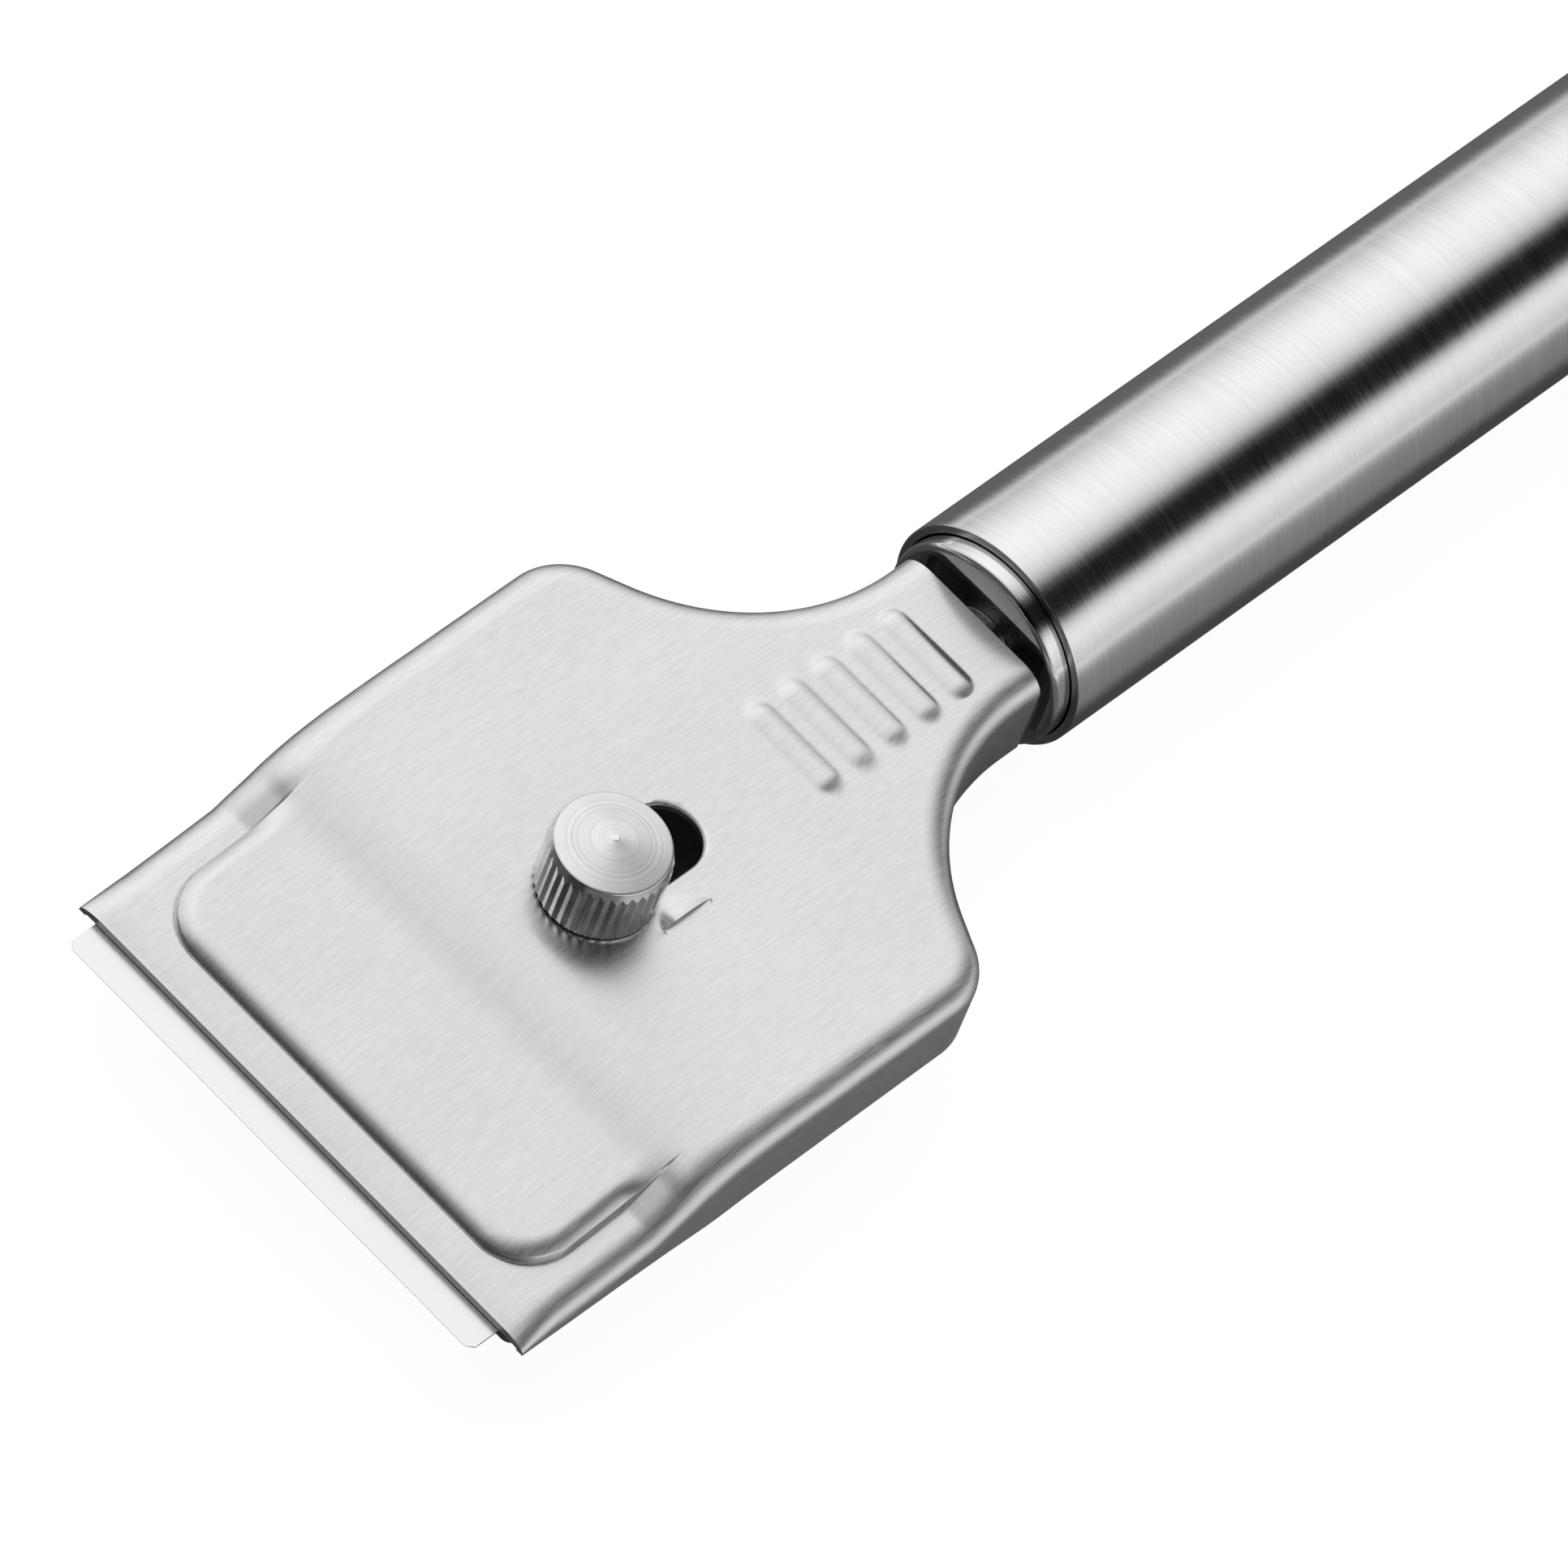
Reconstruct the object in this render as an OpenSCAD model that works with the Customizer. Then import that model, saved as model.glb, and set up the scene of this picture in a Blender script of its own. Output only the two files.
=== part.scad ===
// Ceramic hob scraper: a pressed sheet head carries a sliding razor blade, on a round tube handle.
// Millimetres. The tool lies level with the blade towards -X, the handle towards +X and +Z up.
// The origin is below the middle of the tool, at the height of the underside of the tube.

/* [Head] */
// Distance from each end of the blade to the outside of the head
side_margin = 1.95; // [1.8:0.05:4]
// Length of the head, from its front edge to the end of the neck
head_length = 63; // [61:0.1:75]
// Width of the neck
neck_width = 13.2; // [12.6:0.1:15]
// Thickness of the cover sheet
sheet = 0.6; // [0.5:0.05:0.7]
// Outside radius of the bend between the top and the side walls
bend_radius = 1.2; // [1:0.1:1.6]
// Radius of the convex shoulder
shoulder_radius = 5.2; // [4:0.1:6]
// Radius of the concave waist
waist_radius = 17.2; // [14:0.1:20]
// Height of the flat top above the middle of the tube
top_height = 4.35; // [4:0.05:5]
// Height of the flat top above the front edge of the head
front_drop = 5.2; // [5:0.05:5.6]

/* [Pad] */
// Distance from the outside of the head to the foot of the raised pad
pad_margin = 3.3; // [3:0.1:6]
// Corner radius of the pad foot
pad_corner = 4.4; // [3:0.1:6]
// Distance from the front edge to the pad foot
pad_setback = 2.55; // [2.2:0.05:3]

/* [Ribs] */
// Number of thumb ribs on the neck
rib_count = 5; // [3:1:5]
// Distance between thumb ribs
rib_pitch = 3.2; // [2.9:0.1:3.6]
// Length of a thumb rib across the neck
rib_length = 8.4; // [6:0.1:9]

/* [Slot] */
// Width of the slot
slot_width = 5.5; // [5:0.1:6]
// Distance from the front edge to the clamping screw with the blade out
screw_setback = 25.97; // [25.5:0.01:27]
// Distance that the blade slides back
travel = 6.4; // [5:0.1:6.6]

/* [Blade] */
// Length of the cutting edge
blade_width = 39; // [36:0.5:39.5]
// Depth of the blade, from the cutting edge to the back
blade_depth = 19; // [17:0.5:20]
// Thickness of the blade
blade_thickness = 0.22; // [0.15:0.01:0.25]
// Distance that the blade stands out of the head
blade_reach = 2.6; // [2:0.1:4]
// Sideways seat of the blade on its pins
blade_shift = 0.39; // [0:0.01:0.4]

/* [Knob] */
// Diameter over the teeth of the knob
knob_diameter = 8.6; // [8:0.1:8.6]
// Height of the knob from its base to its rim
knob_height = 5.1; // [4.6:0.1:7]
// Number of teeth round the knob
knob_teeth = 36; // [24:1:44]
// Diameter of the clamping screw
screw_diameter = 3.8; // [3:0.1:4]

/* [Handle] */
// Outside diameter of the tube
tube_diameter = 17; // [16:0.5:20]
// Wall thickness of the tube
tube_wall = 0.6; // [0.5:0.1:1]
// Length of the tube
tube_length = 116.4; // [90:0.1:160]
// Distance that the front plug stands out of the tube
plug_reach = 1.5; // [1:0.1:3]
// Height of the domed end cap
dome_height = 3; // [2:0.1:5]
// Outside diameter of the hanging eye
eye_diameter = 12; // [11:0.5:14]
// Diameter of the hole in the hanging eye
eye_hole = 6; // [4:0.1:6.5]
// Thickness of the hanging eye
eye_thickness = 3; // [2:0.1:4]

/* [Hidden] */
$fn = 96;
run_gap = 0.02;
lap = 0.05;
neck_gap = 0.55;
tube_radius = tube_diameter / 2;
bore_radius = tube_radius - tube_wall;
neck_end = -plug_reach - neck_gap;
front = neck_end - head_length;
screw_x = front + screw_setback;
blade_edge = front - blade_reach;
eye_x = tube_length + dome_height + 1 + eye_diameter / 2;
middle_x = (blade_edge + eye_x + eye_diameter / 2) / 2;
head_width = blade_width + 2 * side_margin;
pad_width = head_width - 2 * pad_margin;
half_head = head_width / 2;
half_neck = neck_width / 2;
underside = top_height - sheet;
screw_radius = screw_diameter / 2;

// Outline of the head: shoulder arc, short straight, waist arc, drawn from the tangent angle of the straight
tangent_angle = 25.6;
outline_u = [cos(tangent_angle), sin(tangent_angle)];
waist_centre = [neck_end - 2.05, half_neck + waist_radius];
shoulder_y = half_head - shoulder_radius;
arc_sum = shoulder_radius + waist_radius;
straight = max(0, (shoulder_y + arc_sum * outline_u[1] - waist_centre[1]) / outline_u[0]);
shoulder_centre = [waist_centre[0] - arc_sum * outline_u[0] - straight * outline_u[1], shoulder_y];

// Height of the side strip below the flat top, by distance from the front edge
strip_drop = [[0, front_drop], [1.55, 4.7], [3.05, 4.4], [7.75, 4], [11.05, 3.65], [11.95, 3.55], [13.35, 2.81],
    [14.65, 2.21], [15.95, 1.48], [17.25, 0.97], [18.65, 0.54], [20.05, 0.3], [21.55, 0.12], [26.05, 0]];
// Height of the pad surface below the flat top
pad_drop = [[2.55, 4.48], [2.8, 3.62], [3.05, 3.4], [13.3, 2.1], [14.1, 1.8], [15.2, 1.2], [16.3, 0.72],
    [17.5, 0.37], [18.8, 0.15], [20.05, 0.04], [21.2, 0]];
// Height of the lower edge of the side walls below the flat top
wall_drop = [[0, 5.99], [4.65, 6.1], [9.25, 6.16], [13.85, 6.35], [17.05, 6.59], [18.3, 6.65], [20.05, 6.52],
    [23.05, 6.35], [27.65, 6.29], [32, 6.22], [38.4, 6.16]];
neck_drop = 7.75;
pad_wall = 0.85;
shoulder_blend = 3.25;

// Heights of the sliding stack, from the cover down to the underside of the tray
plate_thickness = 0.6;
tray_thickness = 0.5;
tray_tail = 8.1;
tray_clearance = 0.45;
tongue_reach = 14.7;
tongue_half = 6;
tongue_corner = 3;
blade_top = top_height - front_drop - sheet - lap;
tray_top = blade_top - blade_thickness;
tray_floor = tray_top - tray_thickness;
plate_top = blade_top + plate_thickness;
slider_half = half_head - sheet - tray_clearance;
slider_back = screw_x + tray_tail;
pin_x = blade_edge + blade_depth * 0.7;
pin_y = blade_width * 0.25;
pin_radius = 1.5;
boss_radius = slot_width / 2 - 0.1;
flange_radius = boss_radius + 1.95;
head_radius = screw_radius + 1.5;
head_depth = 0.9;
square_half = screw_radius + 0.1;

// Heights of the knob and its washer
knob_radius = knob_diameter / 2;
knob_base = top_height + 0.15;
knob_rim = knob_base + knob_height;
washer_radius = knob_radius - 1;
washer_top = top_height + run_gap + 0.5;
bore_top = knob_rim - 0.3;

// Index mark beside the slot
mark_x = screw_x + 3.55;
mark_y = -5.3;
mark_height = 0.5;
mark_half = min(0.95, -mark_y - knob_radius - lap);
mark_radius = (mark_half * mark_half + mark_height * mark_height) / (2 * mark_height);

steel = [0.78, 0.78, 0.77];
polished = [0.72, 0.72, 0.73];
dark = [0.35, 0.35, 0.36];

function clip(u) = max(0, min(1, u));
function ease(u) = clip(u) * clip(u) * (3 - 2 * clip(u));
function mix(a, b, u) = a + (b - a) * u;

// Half width of the head outline drawn in by a distance, so that walls keep their thickness on the curves
function straight_y(x, inset) =
    let (touch = shoulder_centre + (shoulder_radius - inset) * outline_u)
    touch[1] - (x - touch[0]) / tan(tangent_angle);
function half_width(x, inset) =
    x >= waist_centre[0] ? half_neck - inset
    : x >= waist_centre[0] - (waist_radius + inset) * outline_u[0]
    ? waist_centre[1] - sqrt(pow(waist_radius + inset, 2) - pow(x - waist_centre[0], 2))
    : x >= shoulder_centre[0] + (shoulder_radius - inset) * outline_u[0] ? straight_y(x, inset)
    : x >= shoulder_centre[0] ? shoulder_y + sqrt(pow(shoulder_radius - inset, 2) - pow(x - shoulder_centre[0], 2))
    : half_head - inset;

// How far the pad has widened behind its crease, from 0 at the foot to 1 on the flat top
function spread(x) = ease((x - front - 13) / 4);
function pad_half(x) = mix(pad_width / 2, half_head - bend_radius - lap, spread(x));
function pad_slope(x) = mix(pad_wall, shoulder_blend, spread(x));

// Distance inwards from the foot line of the pad
function pad_inset(x, y) =
    let (side = abs(y) - pad_half(x) + pad_corner, ahead = front + pad_setback + pad_corner - x,
        past = norm([max(side, 0), max(ahead, 0)]) + min(max(side, ahead), 0))
    pad_corner - past;

function strip_z(x) = top_height - lookup(x - front, strip_drop);
function pad_z(x) = top_height - lookup(x - front, pad_drop);
function surface_z(x, y) =
    mix(strip_z(x), max(strip_z(x), pad_z(x)), ease(pad_inset(x, y) / pad_slope(x)));
function wall_z(x) =
    top_height - mix(neck_drop, lookup(x - front, wall_drop), ease((neck_end - x - 4.5) / 12.5));

// Cross stations of the cover, closer together where the surface bends
head_stations = [for (d = [0, 0.8, 1.55, 2.55, 2.75, 3.05, 3.5, 4.3, 5.5, 7.1, 11.05, 11.95, 12.6, 13.35, 14.3,
    15.3, 16.2, 17.25, 18.65, 20.05, 21.55, 26.05]) front + d];
shoulder_stations = [for (k = [0:1:5]) shoulder_centre[0] + shoulder_radius * sin(k * (90 - tangent_angle) / 5)];
waist_stations = [for (k = [0:1:7])
    waist_centre[0] - waist_radius * cos(tangent_angle + k * (90 - tangent_angle) / 7)];
stations = concat(head_stations, shoulder_stations, waist_stations, [neck_end]);

// Sample lines across half of the top, as distances from the middle
function foot_y(x) =
    let (ahead = max(0, front + pad_setback + pad_corner - x))
    pad_half(x) - pad_corner + sqrt(max(0, pad_corner * pad_corner - ahead * ahead));
function sample_y(x) =
    let (foot = foot_y(x), slope = pad_slope(x), grow = half_width(x, bend_radius) / (half_head - bend_radius))
    [for (y = [6, foot - 1.1 * slope, foot - 0.8 * slope, foot - 0.5 * slope, foot - 0.2 * slope, foot]) y * grow];

// One side of a section: top samples, bend arc and the foot of the wall, for the outer or the inner face
function side_points(x, depth) =
    let (radius = bend_radius - depth, edge_z = strip_z(x) - depth, low = wall_z(x),
        fall = min(radius, 0.9 * (edge_z - low)), turn = acos(1 - fall / radius))
    concat(
        [for (y = sample_y(x)) [y, surface_z(x, y / half_width(x, bend_radius) * (half_head - bend_radius)) - depth]],
        [for (k = [0:1:4]) [half_width(x, bend_radius - radius * sin(turn * k / 4)),
            edge_z - radius + radius * cos(turn * k / 4)]],
        [[half_width(x, bend_radius - radius * sin(turn)), low]]);
function mirrored(points) = [for (k = [len(points) - 1:-1:0]) [-points[k][0], points[k][1]]];
function reversed(points) = [for (k = [len(points) - 1:-1:0]) points[k]];
function section(x) =
    let (outer = side_points(x, 0), inner = side_points(x, sheet))
    concat(mirrored(outer), [[0, surface_z(x, 0)]], outer,
        reversed(inner), [[0, surface_z(x, 0) - sheet]], reversed(mirrored(inner)));

module cover_shell() {
    rings = [for (x = stations) [for (p = section(x)) [x, p[0], p[1]]]];
    count = len(rings[0]);
    last = len(rings) - 1;
    sides = [for (i = [0:1:last - 1]) for (j = [0:1:count - 1])
        let (a = i * count + j, b = i * count + (j + 1) % count, c = b + count, d = a + count)
        each [[a, b, c], [a, c, d]]];
    half = count / 2;
    neck_face = [for (j = [0:1:half - 2]) let (a = last * count)
        each [[a + j, a + j + 1, a + count - 2 - j], [a + j, a + count - 2 - j, a + count - 1 - j]]];
    head_face = [for (j = [0:1:half - 2]) each [[count - 2 - j, j + 1, j], [count - 1 - j, count - 2 - j, j]]];
    polyhedron(points = [for (ring = rings) each ring], faces = concat(sides, head_face, neck_face));
}

// A bar with ball ends lying across the tool
module cross_capsule(radius, half_length, height) {
    translate([0, 0, height]) {
        rotate([90, 0, 0]) cylinder(r = radius, h = 2 * half_length, center = true, $fn = 24);
        for (side = [-1, 1]) {
            translate([0, side * half_length, 0]) sphere(r = radius, $fn = 24);
        }
    }
}

module place_ribs() {
    for (k = [0:1:rib_count - 1]) {
        translate([neck_end - 5.35 - k * rib_pitch, 0, 0]) children();
    }
}

rib_half = 1.2;
rib_rise = 0.5;
rib_radius = (rib_half * rib_half + rib_rise * rib_rise) / (2 * rib_rise);
rib_centre = top_height + rib_rise - rib_radius;

module ribs() {
    intersection() {
        place_ribs() cross_capsule(rib_radius, rib_length / 2 - rib_half, rib_centre);
        translate([neck_end - 30, -half_neck, underside + lap]) cube([30, neck_width, 3]);
    }
}

module rib_hollows() {
    place_ribs() cross_capsule(rib_radius - sheet, rib_length / 2 - rib_half, rib_centre);
}

module index_mark() {
    intersection() {
        translate([mark_x, mark_y, top_height + mark_height - mark_radius]) {
            rotate([0, 90, 0]) cylinder(r = mark_radius, h = 2.2, center = true, $fn = 24);
            for (side = [-1, 1]) {
                translate([side * 1.1, 0, 0]) sphere(r = mark_radius, $fn = 24);
            }
        }
        translate([mark_x - 4, mark_y, underside + lap]) cube([8, 4, 3]);
    }
}

module slot_cut() {
    for (x = [screw_x, screw_x + travel + lap]) {
        translate([x, 0, underside - 1]) cylinder(r = slot_width / 2, h = sheet + 2);
    }
    translate([screw_x, -slot_width / 2, underside - 1]) cube([travel + lap, slot_width, sheet + 2]);
}

module top_cover() {
    color(steel)
    difference() {
        union() {
            cover_shell();
            ribs();
            index_mark();
        }
        rib_hollows();
        slot_cut();
    }
}

// Flat plate with rounded corners, given its ends, half width and corner radius
module rounded_plate(from_x, to_x, half, radius, low, thickness) {
    translate([0, 0, low])
    linear_extrude(thickness)
    union() {
        translate([from_x + radius, -half]) square([to_x - from_x - 2 * radius, 2 * half]);
        translate([from_x, radius - half]) square([to_x - from_x, 2 * (half - radius)]);
        for (x = [from_x + radius, to_x - radius], y = [radius - half, half - radius]) {
            translate([x, y]) circle(r = radius);
        }
    }
}

module pin_holes(radius) {
    for (side = [-1, 1]) {
        translate([pin_x, side * pin_y, tray_floor - 1]) cylinder(r = radius, h = 6);
    }
}

// The tray: two low rails along its sides, and a tongue behind that closes the slot from below
module blade_tray() {
    color(dark)
    difference() {
        union() {
            rounded_plate(front + 0.1, slider_back, slider_half, 1, tray_floor, tray_thickness);
            rounded_plate(screw_x, screw_x + tongue_reach, tongue_half, tongue_corner, tray_floor, tray_thickness);
            for (side = [-1, 1]) {
                translate([front + 8, side * (slider_half - 0.25) - 0.25, tray_floor + lap])
                cube([slider_back - front - 12, 0.5, 1.3]);
            }
        }
        pin_holes(pin_radius);
        translate([screw_x - square_half, -square_half, tray_floor - 1]) cube([2 * square_half, 2 * square_half, 3]);
    }
}

module clamp_plate() {
    color(steel)
    difference() {
        rounded_plate(front + 4.1, slider_back - 2.5, slider_half - 2.2, 2, blade_top, plate_thickness);
        pin_holes(pin_radius);
        translate([screw_x, 0, blade_top - 1]) cylinder(r = screw_radius + 0.1, h = 3);
    }
}

// The blade: both faces are ground back from the cutting edge, and the ends of the edge are clipped
bevel = 1.1;
edge_clip = 0.5;

module blade() {
    back = blade_edge + blade_depth;
    middle = blade_top - blade_thickness / 2;
    color(polished)
    translate([0, blade_shift, 0])
    difference() {
        rotate([90, 0, 0])
        linear_extrude(blade_width, center = true)
        polygon([[blade_edge, middle - 0.02], [blade_edge + bevel, tray_top], [back, tray_top],
            [back, blade_top], [blade_edge + bevel, blade_top], [blade_edge, middle + 0.02]]);
        for (side = [-1, 1]) {
            translate([blade_edge, side * blade_width / 2, tray_top - 1])
            rotate([0, 0, 45])
            cube([edge_clip * sqrt(2), edge_clip * sqrt(2), 4], center = true);
            translate([pin_x, side * pin_y, tray_top - 1]) cylinder(r = pin_radius + 0.5, h = 3);
        }
    }
}

module locating_pins() {
    color(polished)
    for (side = [-1, 1]) {
        translate([pin_x, side * pin_y, tray_floor]) {
            cylinder(r = pin_radius, h = plate_top - tray_floor + 0.2);
            translate([0, 0, plate_top - tray_floor + 0.2]) cylinder(r1 = pin_radius, r2 = pin_radius - 0.3, h = 0.3);
        }
    }
}

module guide_bush() {
    color(polished)
    translate([screw_x, 0, 0])
    difference() {
        union() {
            translate([0, 0, plate_top]) cylinder(r = flange_radius, h = underside - 0.03 - plate_top);
            translate([0, 0, plate_top]) cylinder(r = boss_radius, h = top_height - lap - plate_top);
        }
        translate([0, 0, plate_top - 1]) cylinder(r = screw_radius + lap, h = top_height);
        translate([0, 0, top_height - 2]) cylinder(r = screw_radius + lap, h = 3);
    }
}

module clamp_screw() {
    color(polished)
    translate([screw_x, 0, 0])
    difference() {
        union() {
            translate([0, 0, tray_floor - head_depth]) cylinder(r1 = head_radius - 0.3, r2 = head_radius, h = 0.3);
            translate([0, 0, tray_floor - head_depth + 0.3]) cylinder(r = head_radius, h = head_depth - 0.3);
            translate([-square_half, -square_half, tray_floor - 0.1]) cube([2 * square_half, 2 * square_half, tray_thickness + 0.1]);
            translate([0, 0, tray_floor - 0.1]) cylinder(r = screw_radius, h = knob_rim - 0.8 - tray_floor);
        }
        translate([-head_radius - 1, -0.4, tray_floor - head_depth - 1]) cube([2 * head_radius + 2, 0.8, 1.4]);
    }
}

module thrust_washer() {
    color(steel)
    translate([screw_x, 0, top_height + run_gap])
    difference() {
        cylinder(r = washer_radius, h = 0.5);
        translate([0, 0, -1]) cylinder(r = screw_radius + lap, h = 3);
    }
}

// The knob: straight teeth round the side, a smooth chamfer under the rim and a shallow cone on top
tooth_depth = 0.35;
cone_rise = 0.75;

module knob_teeth_outline() {
    polygon([for (k = [0:1:2 * knob_teeth - 1])
        let (r = knob_radius - (k % 2) * tooth_depth, a = k * 180 / knob_teeth)
        [r * cos(a), r * sin(a)]]);
}

module knurled_knob() {
    color(steel)
    translate([screw_x, 0, 0])
    difference() {
        intersection() {
            translate([0, 0, knob_base]) linear_extrude(knob_height + 2) knob_teeth_outline();
            rotate_extrude()
            polygon([[0, knob_base], [knob_radius - 0.12, knob_base], [knob_radius + 0.08, knob_base + 0.2],
                [knob_radius + 0.08, knob_rim - 0.53], [knob_radius - 0.1 - tooth_depth, knob_rim],
                [0.3, knob_rim + cone_rise], [0, knob_rim + cone_rise]]);
        }
        translate([0, 0, knob_base - 1]) cylinder(r = washer_radius + 0.1, h = washer_top + run_gap - knob_base + 1);
        translate([0, 0, knob_base - 1]) cylinder(r = screw_radius + lap, h = bore_top - knob_base + 1);
    }
}

// Solid tang: a flat bar under the neck and a round spigot into the plug
tang_half = half_neck - bend_radius - 0.1;
tang_length = 10;
tang_setback = 0.4;
tang_height = 6.3;
tang_low = underside - tang_height;
spigot_radius = 2.5;
spigot_depth = 9;

module neck_tang() {
    color(polished)
    union() {
        translate([neck_end - tang_length, -tang_half, tang_low])
        cube([tang_length - tang_setback, 2 * tang_half, tang_height]);
        translate([neck_end - tang_length, 0, tang_low]) cylinder(r = tang_half, h = tang_height);
        translate([neck_end - tang_length / 2, 0, 0]) rotate([0, 90, 0])
        cylinder(r = spigot_radius, h = tang_length / 2 - neck_end + spigot_depth);
    }
}

plug_depth = 14;
plug_edge = 0.5;
plug_radius = bore_radius - 0.12;

module front_plug() {
    color(polished)
    difference() {
        union() {
            rotate([0, 90, 0])
            rotate_extrude()
            union() {
                translate([0, -plug_reach]) square([plug_radius - plug_edge, plug_reach + 3]);
                translate([0, plug_edge - plug_reach]) square([plug_radius, plug_reach + 3 - plug_edge]);
                translate([plug_radius - plug_edge, plug_edge - plug_reach]) circle(r = plug_edge);
            }
            translate([1.5, 0, 0]) rotate([0, 90, 0]) cylinder(r = bore_radius, h = plug_depth - 1.5);
        }
        translate([-plug_reach - 1, 0, 0]) rotate([0, 90, 0]) cylinder(r = spigot_radius, h = plug_reach + 1 + spigot_depth);
    }
}

module handle_tube() {
    color(steel)
    rotate([0, 90, 0])
    difference() {
        cylinder(r = tube_radius, h = tube_length);
        translate([0, 0, -1]) cylinder(r = bore_radius, h = tube_length + 2);
    }
}

dome_radius = (tube_radius * tube_radius + dome_height * dome_height) / (2 * dome_height);
cap_depth = 10;
stem_radius = 1.6;
stem_depth = 6;

module end_cap() {
    color(polished)
    translate([tube_length, 0, 0])
    difference() {
        union() {
            intersection() {
                translate([dome_height - dome_radius, 0, 0]) rotate([0, 90, 0]) sphere(r = dome_radius);
                rotate([0, 90, 0]) cylinder(r = tube_radius, h = dome_height + 1);
            }
            translate([-cap_depth, 0, 0]) rotate([0, 90, 0]) cylinder(r = bore_radius, h = cap_depth + lap);
        }
        translate([dome_height - stem_depth, 0, 0]) rotate([0, 90, 0]) cylinder(r = stem_radius, h = stem_depth + 1);
    }
}

module hanging_eye() {
    hole = eye_hole / 2;
    round_radius = eye_thickness / 2;
    inner = tube_length + dome_height - stem_depth;
    color(polished)
    difference() {
        union() {
            translate([eye_x, 0, 0])
            rotate_extrude()
            union() {
                translate([hole, -round_radius]) square([eye_diameter / 2 - hole - round_radius, eye_thickness]);
                translate([eye_diameter / 2 - round_radius, 0]) circle(r = round_radius);
            }
            translate([inner, 0, 0]) rotate([0, 90, 0])
            cylinder(r = min(stem_radius, round_radius), h = eye_x - inner - eye_diameter / 4 - hole / 2);
        }
        translate([eye_x, 0, -eye_thickness]) cylinder(r = hole, h = 2 * eye_thickness);
    }
}

module placed() {
    translate([-middle_x, 0, tube_radius]) children();
}

placed() top_cover();
placed() blade_tray();
placed() clamp_plate();
placed() blade();
placed() locating_pins();
placed() guide_bush();
placed() clamp_screw();
placed() thrust_washer();
placed() knurled_knob();
placed() neck_tang();
placed() front_plug();
placed() handle_tube();
placed() end_cap();
placed() hanging_eye();
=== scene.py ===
"""Looks of a stainless steel ceramic hob scraper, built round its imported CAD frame."""

import math
from types import SimpleNamespace

import bmesh
import bpy
import numpy as np
from mathutils import Matrix, Vector


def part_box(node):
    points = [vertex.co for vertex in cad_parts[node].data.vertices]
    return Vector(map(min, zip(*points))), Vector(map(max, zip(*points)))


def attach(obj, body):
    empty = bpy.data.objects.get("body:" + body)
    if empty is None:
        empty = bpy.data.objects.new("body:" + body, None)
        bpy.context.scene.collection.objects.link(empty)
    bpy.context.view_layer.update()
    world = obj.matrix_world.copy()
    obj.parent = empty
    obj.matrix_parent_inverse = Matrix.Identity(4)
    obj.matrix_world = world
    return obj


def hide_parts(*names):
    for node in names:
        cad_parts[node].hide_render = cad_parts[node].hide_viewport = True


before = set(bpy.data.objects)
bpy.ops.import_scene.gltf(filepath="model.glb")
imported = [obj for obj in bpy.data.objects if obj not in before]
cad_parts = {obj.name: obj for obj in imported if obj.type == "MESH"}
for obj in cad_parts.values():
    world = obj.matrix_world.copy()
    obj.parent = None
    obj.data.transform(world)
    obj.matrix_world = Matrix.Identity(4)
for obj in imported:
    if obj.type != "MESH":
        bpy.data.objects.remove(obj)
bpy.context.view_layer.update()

bl_info = {
    "name": "Hob Scraper Looks",
    "version": (1, 0, 0),
    "blender": (4, 5, 0),
    "location": "3D View > Sidebar > Scraper",
    "description": "Builds the visible pieces of a stainless steel hob scraper",
    "category": "Object",
}

MM = 0.001
TUBE_LOW, TUBE_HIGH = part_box("handle_tube")
COVER_LOW, COVER_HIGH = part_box("top_cover")
KNOB_LOW, KNOB_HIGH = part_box("knurled_knob")

# Shapes below are drawn in millimetres from the middle of the front end of the tube
ORIGIN = Vector((TUBE_LOW.x, 0.0, (TUBE_LOW.z + TUBE_HIGH.z) / 2))
FRONT = (COVER_LOW.x - ORIGIN.x) / MM
# The cover ends a little short of its CAD box, so that the gap to the plug looks as deep as it is
COVER_SHORT = 0.35
NECK_END = (COVER_HIGH.x - ORIGIN.x) / MM - COVER_SHORT
HALF_HEAD = COVER_HIGH.y / MM
KNOB_X = ((KNOB_LOW.x + KNOB_HIGH.x) / 2 - ORIGIN.x) / MM
TUBE_RADIUS = (TUBE_HIGH.z - TUBE_LOW.z) / 2 / MM
TUBE_LENGTH = (TUBE_HIGH.x - TUBE_LOW.x) / MM
PLUG_FACE, PLUG_BACK = [(corner.x - ORIGIN.x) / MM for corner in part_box("front_plug")]
CAP_BACK, CAP_END = [(corner.x - ORIGIN.x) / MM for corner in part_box("end_cap")]


def colour(hex_code):
    """An sRGB hex colour as linear red, green, blue and full alpha."""
    parts = [int(hex_code[i:i + 2], 16) / 255 for i in (1, 3, 5)]
    linear = [p / 12.92 if p <= 0.04045 else ((p + 0.055) / 1.055) ** 2.4 for p in parts]
    return (*linear, 1.0)


def length(name, description, millimetres):
    """A size property, given in millimetres and held in metres."""
    return bpy.props.FloatProperty(name=name, description=description, default=millimetres * MM,
                                   precision=5, unit="LENGTH")


def tone(name, description, hex_code):
    """A colour property, given as an sRGB hex colour."""
    return bpy.props.FloatVectorProperty(name=name, description=description, size=4,
                                         subtype="COLOR", min=0.0, max=1.0,
                                         default=colour(hex_code))


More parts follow.
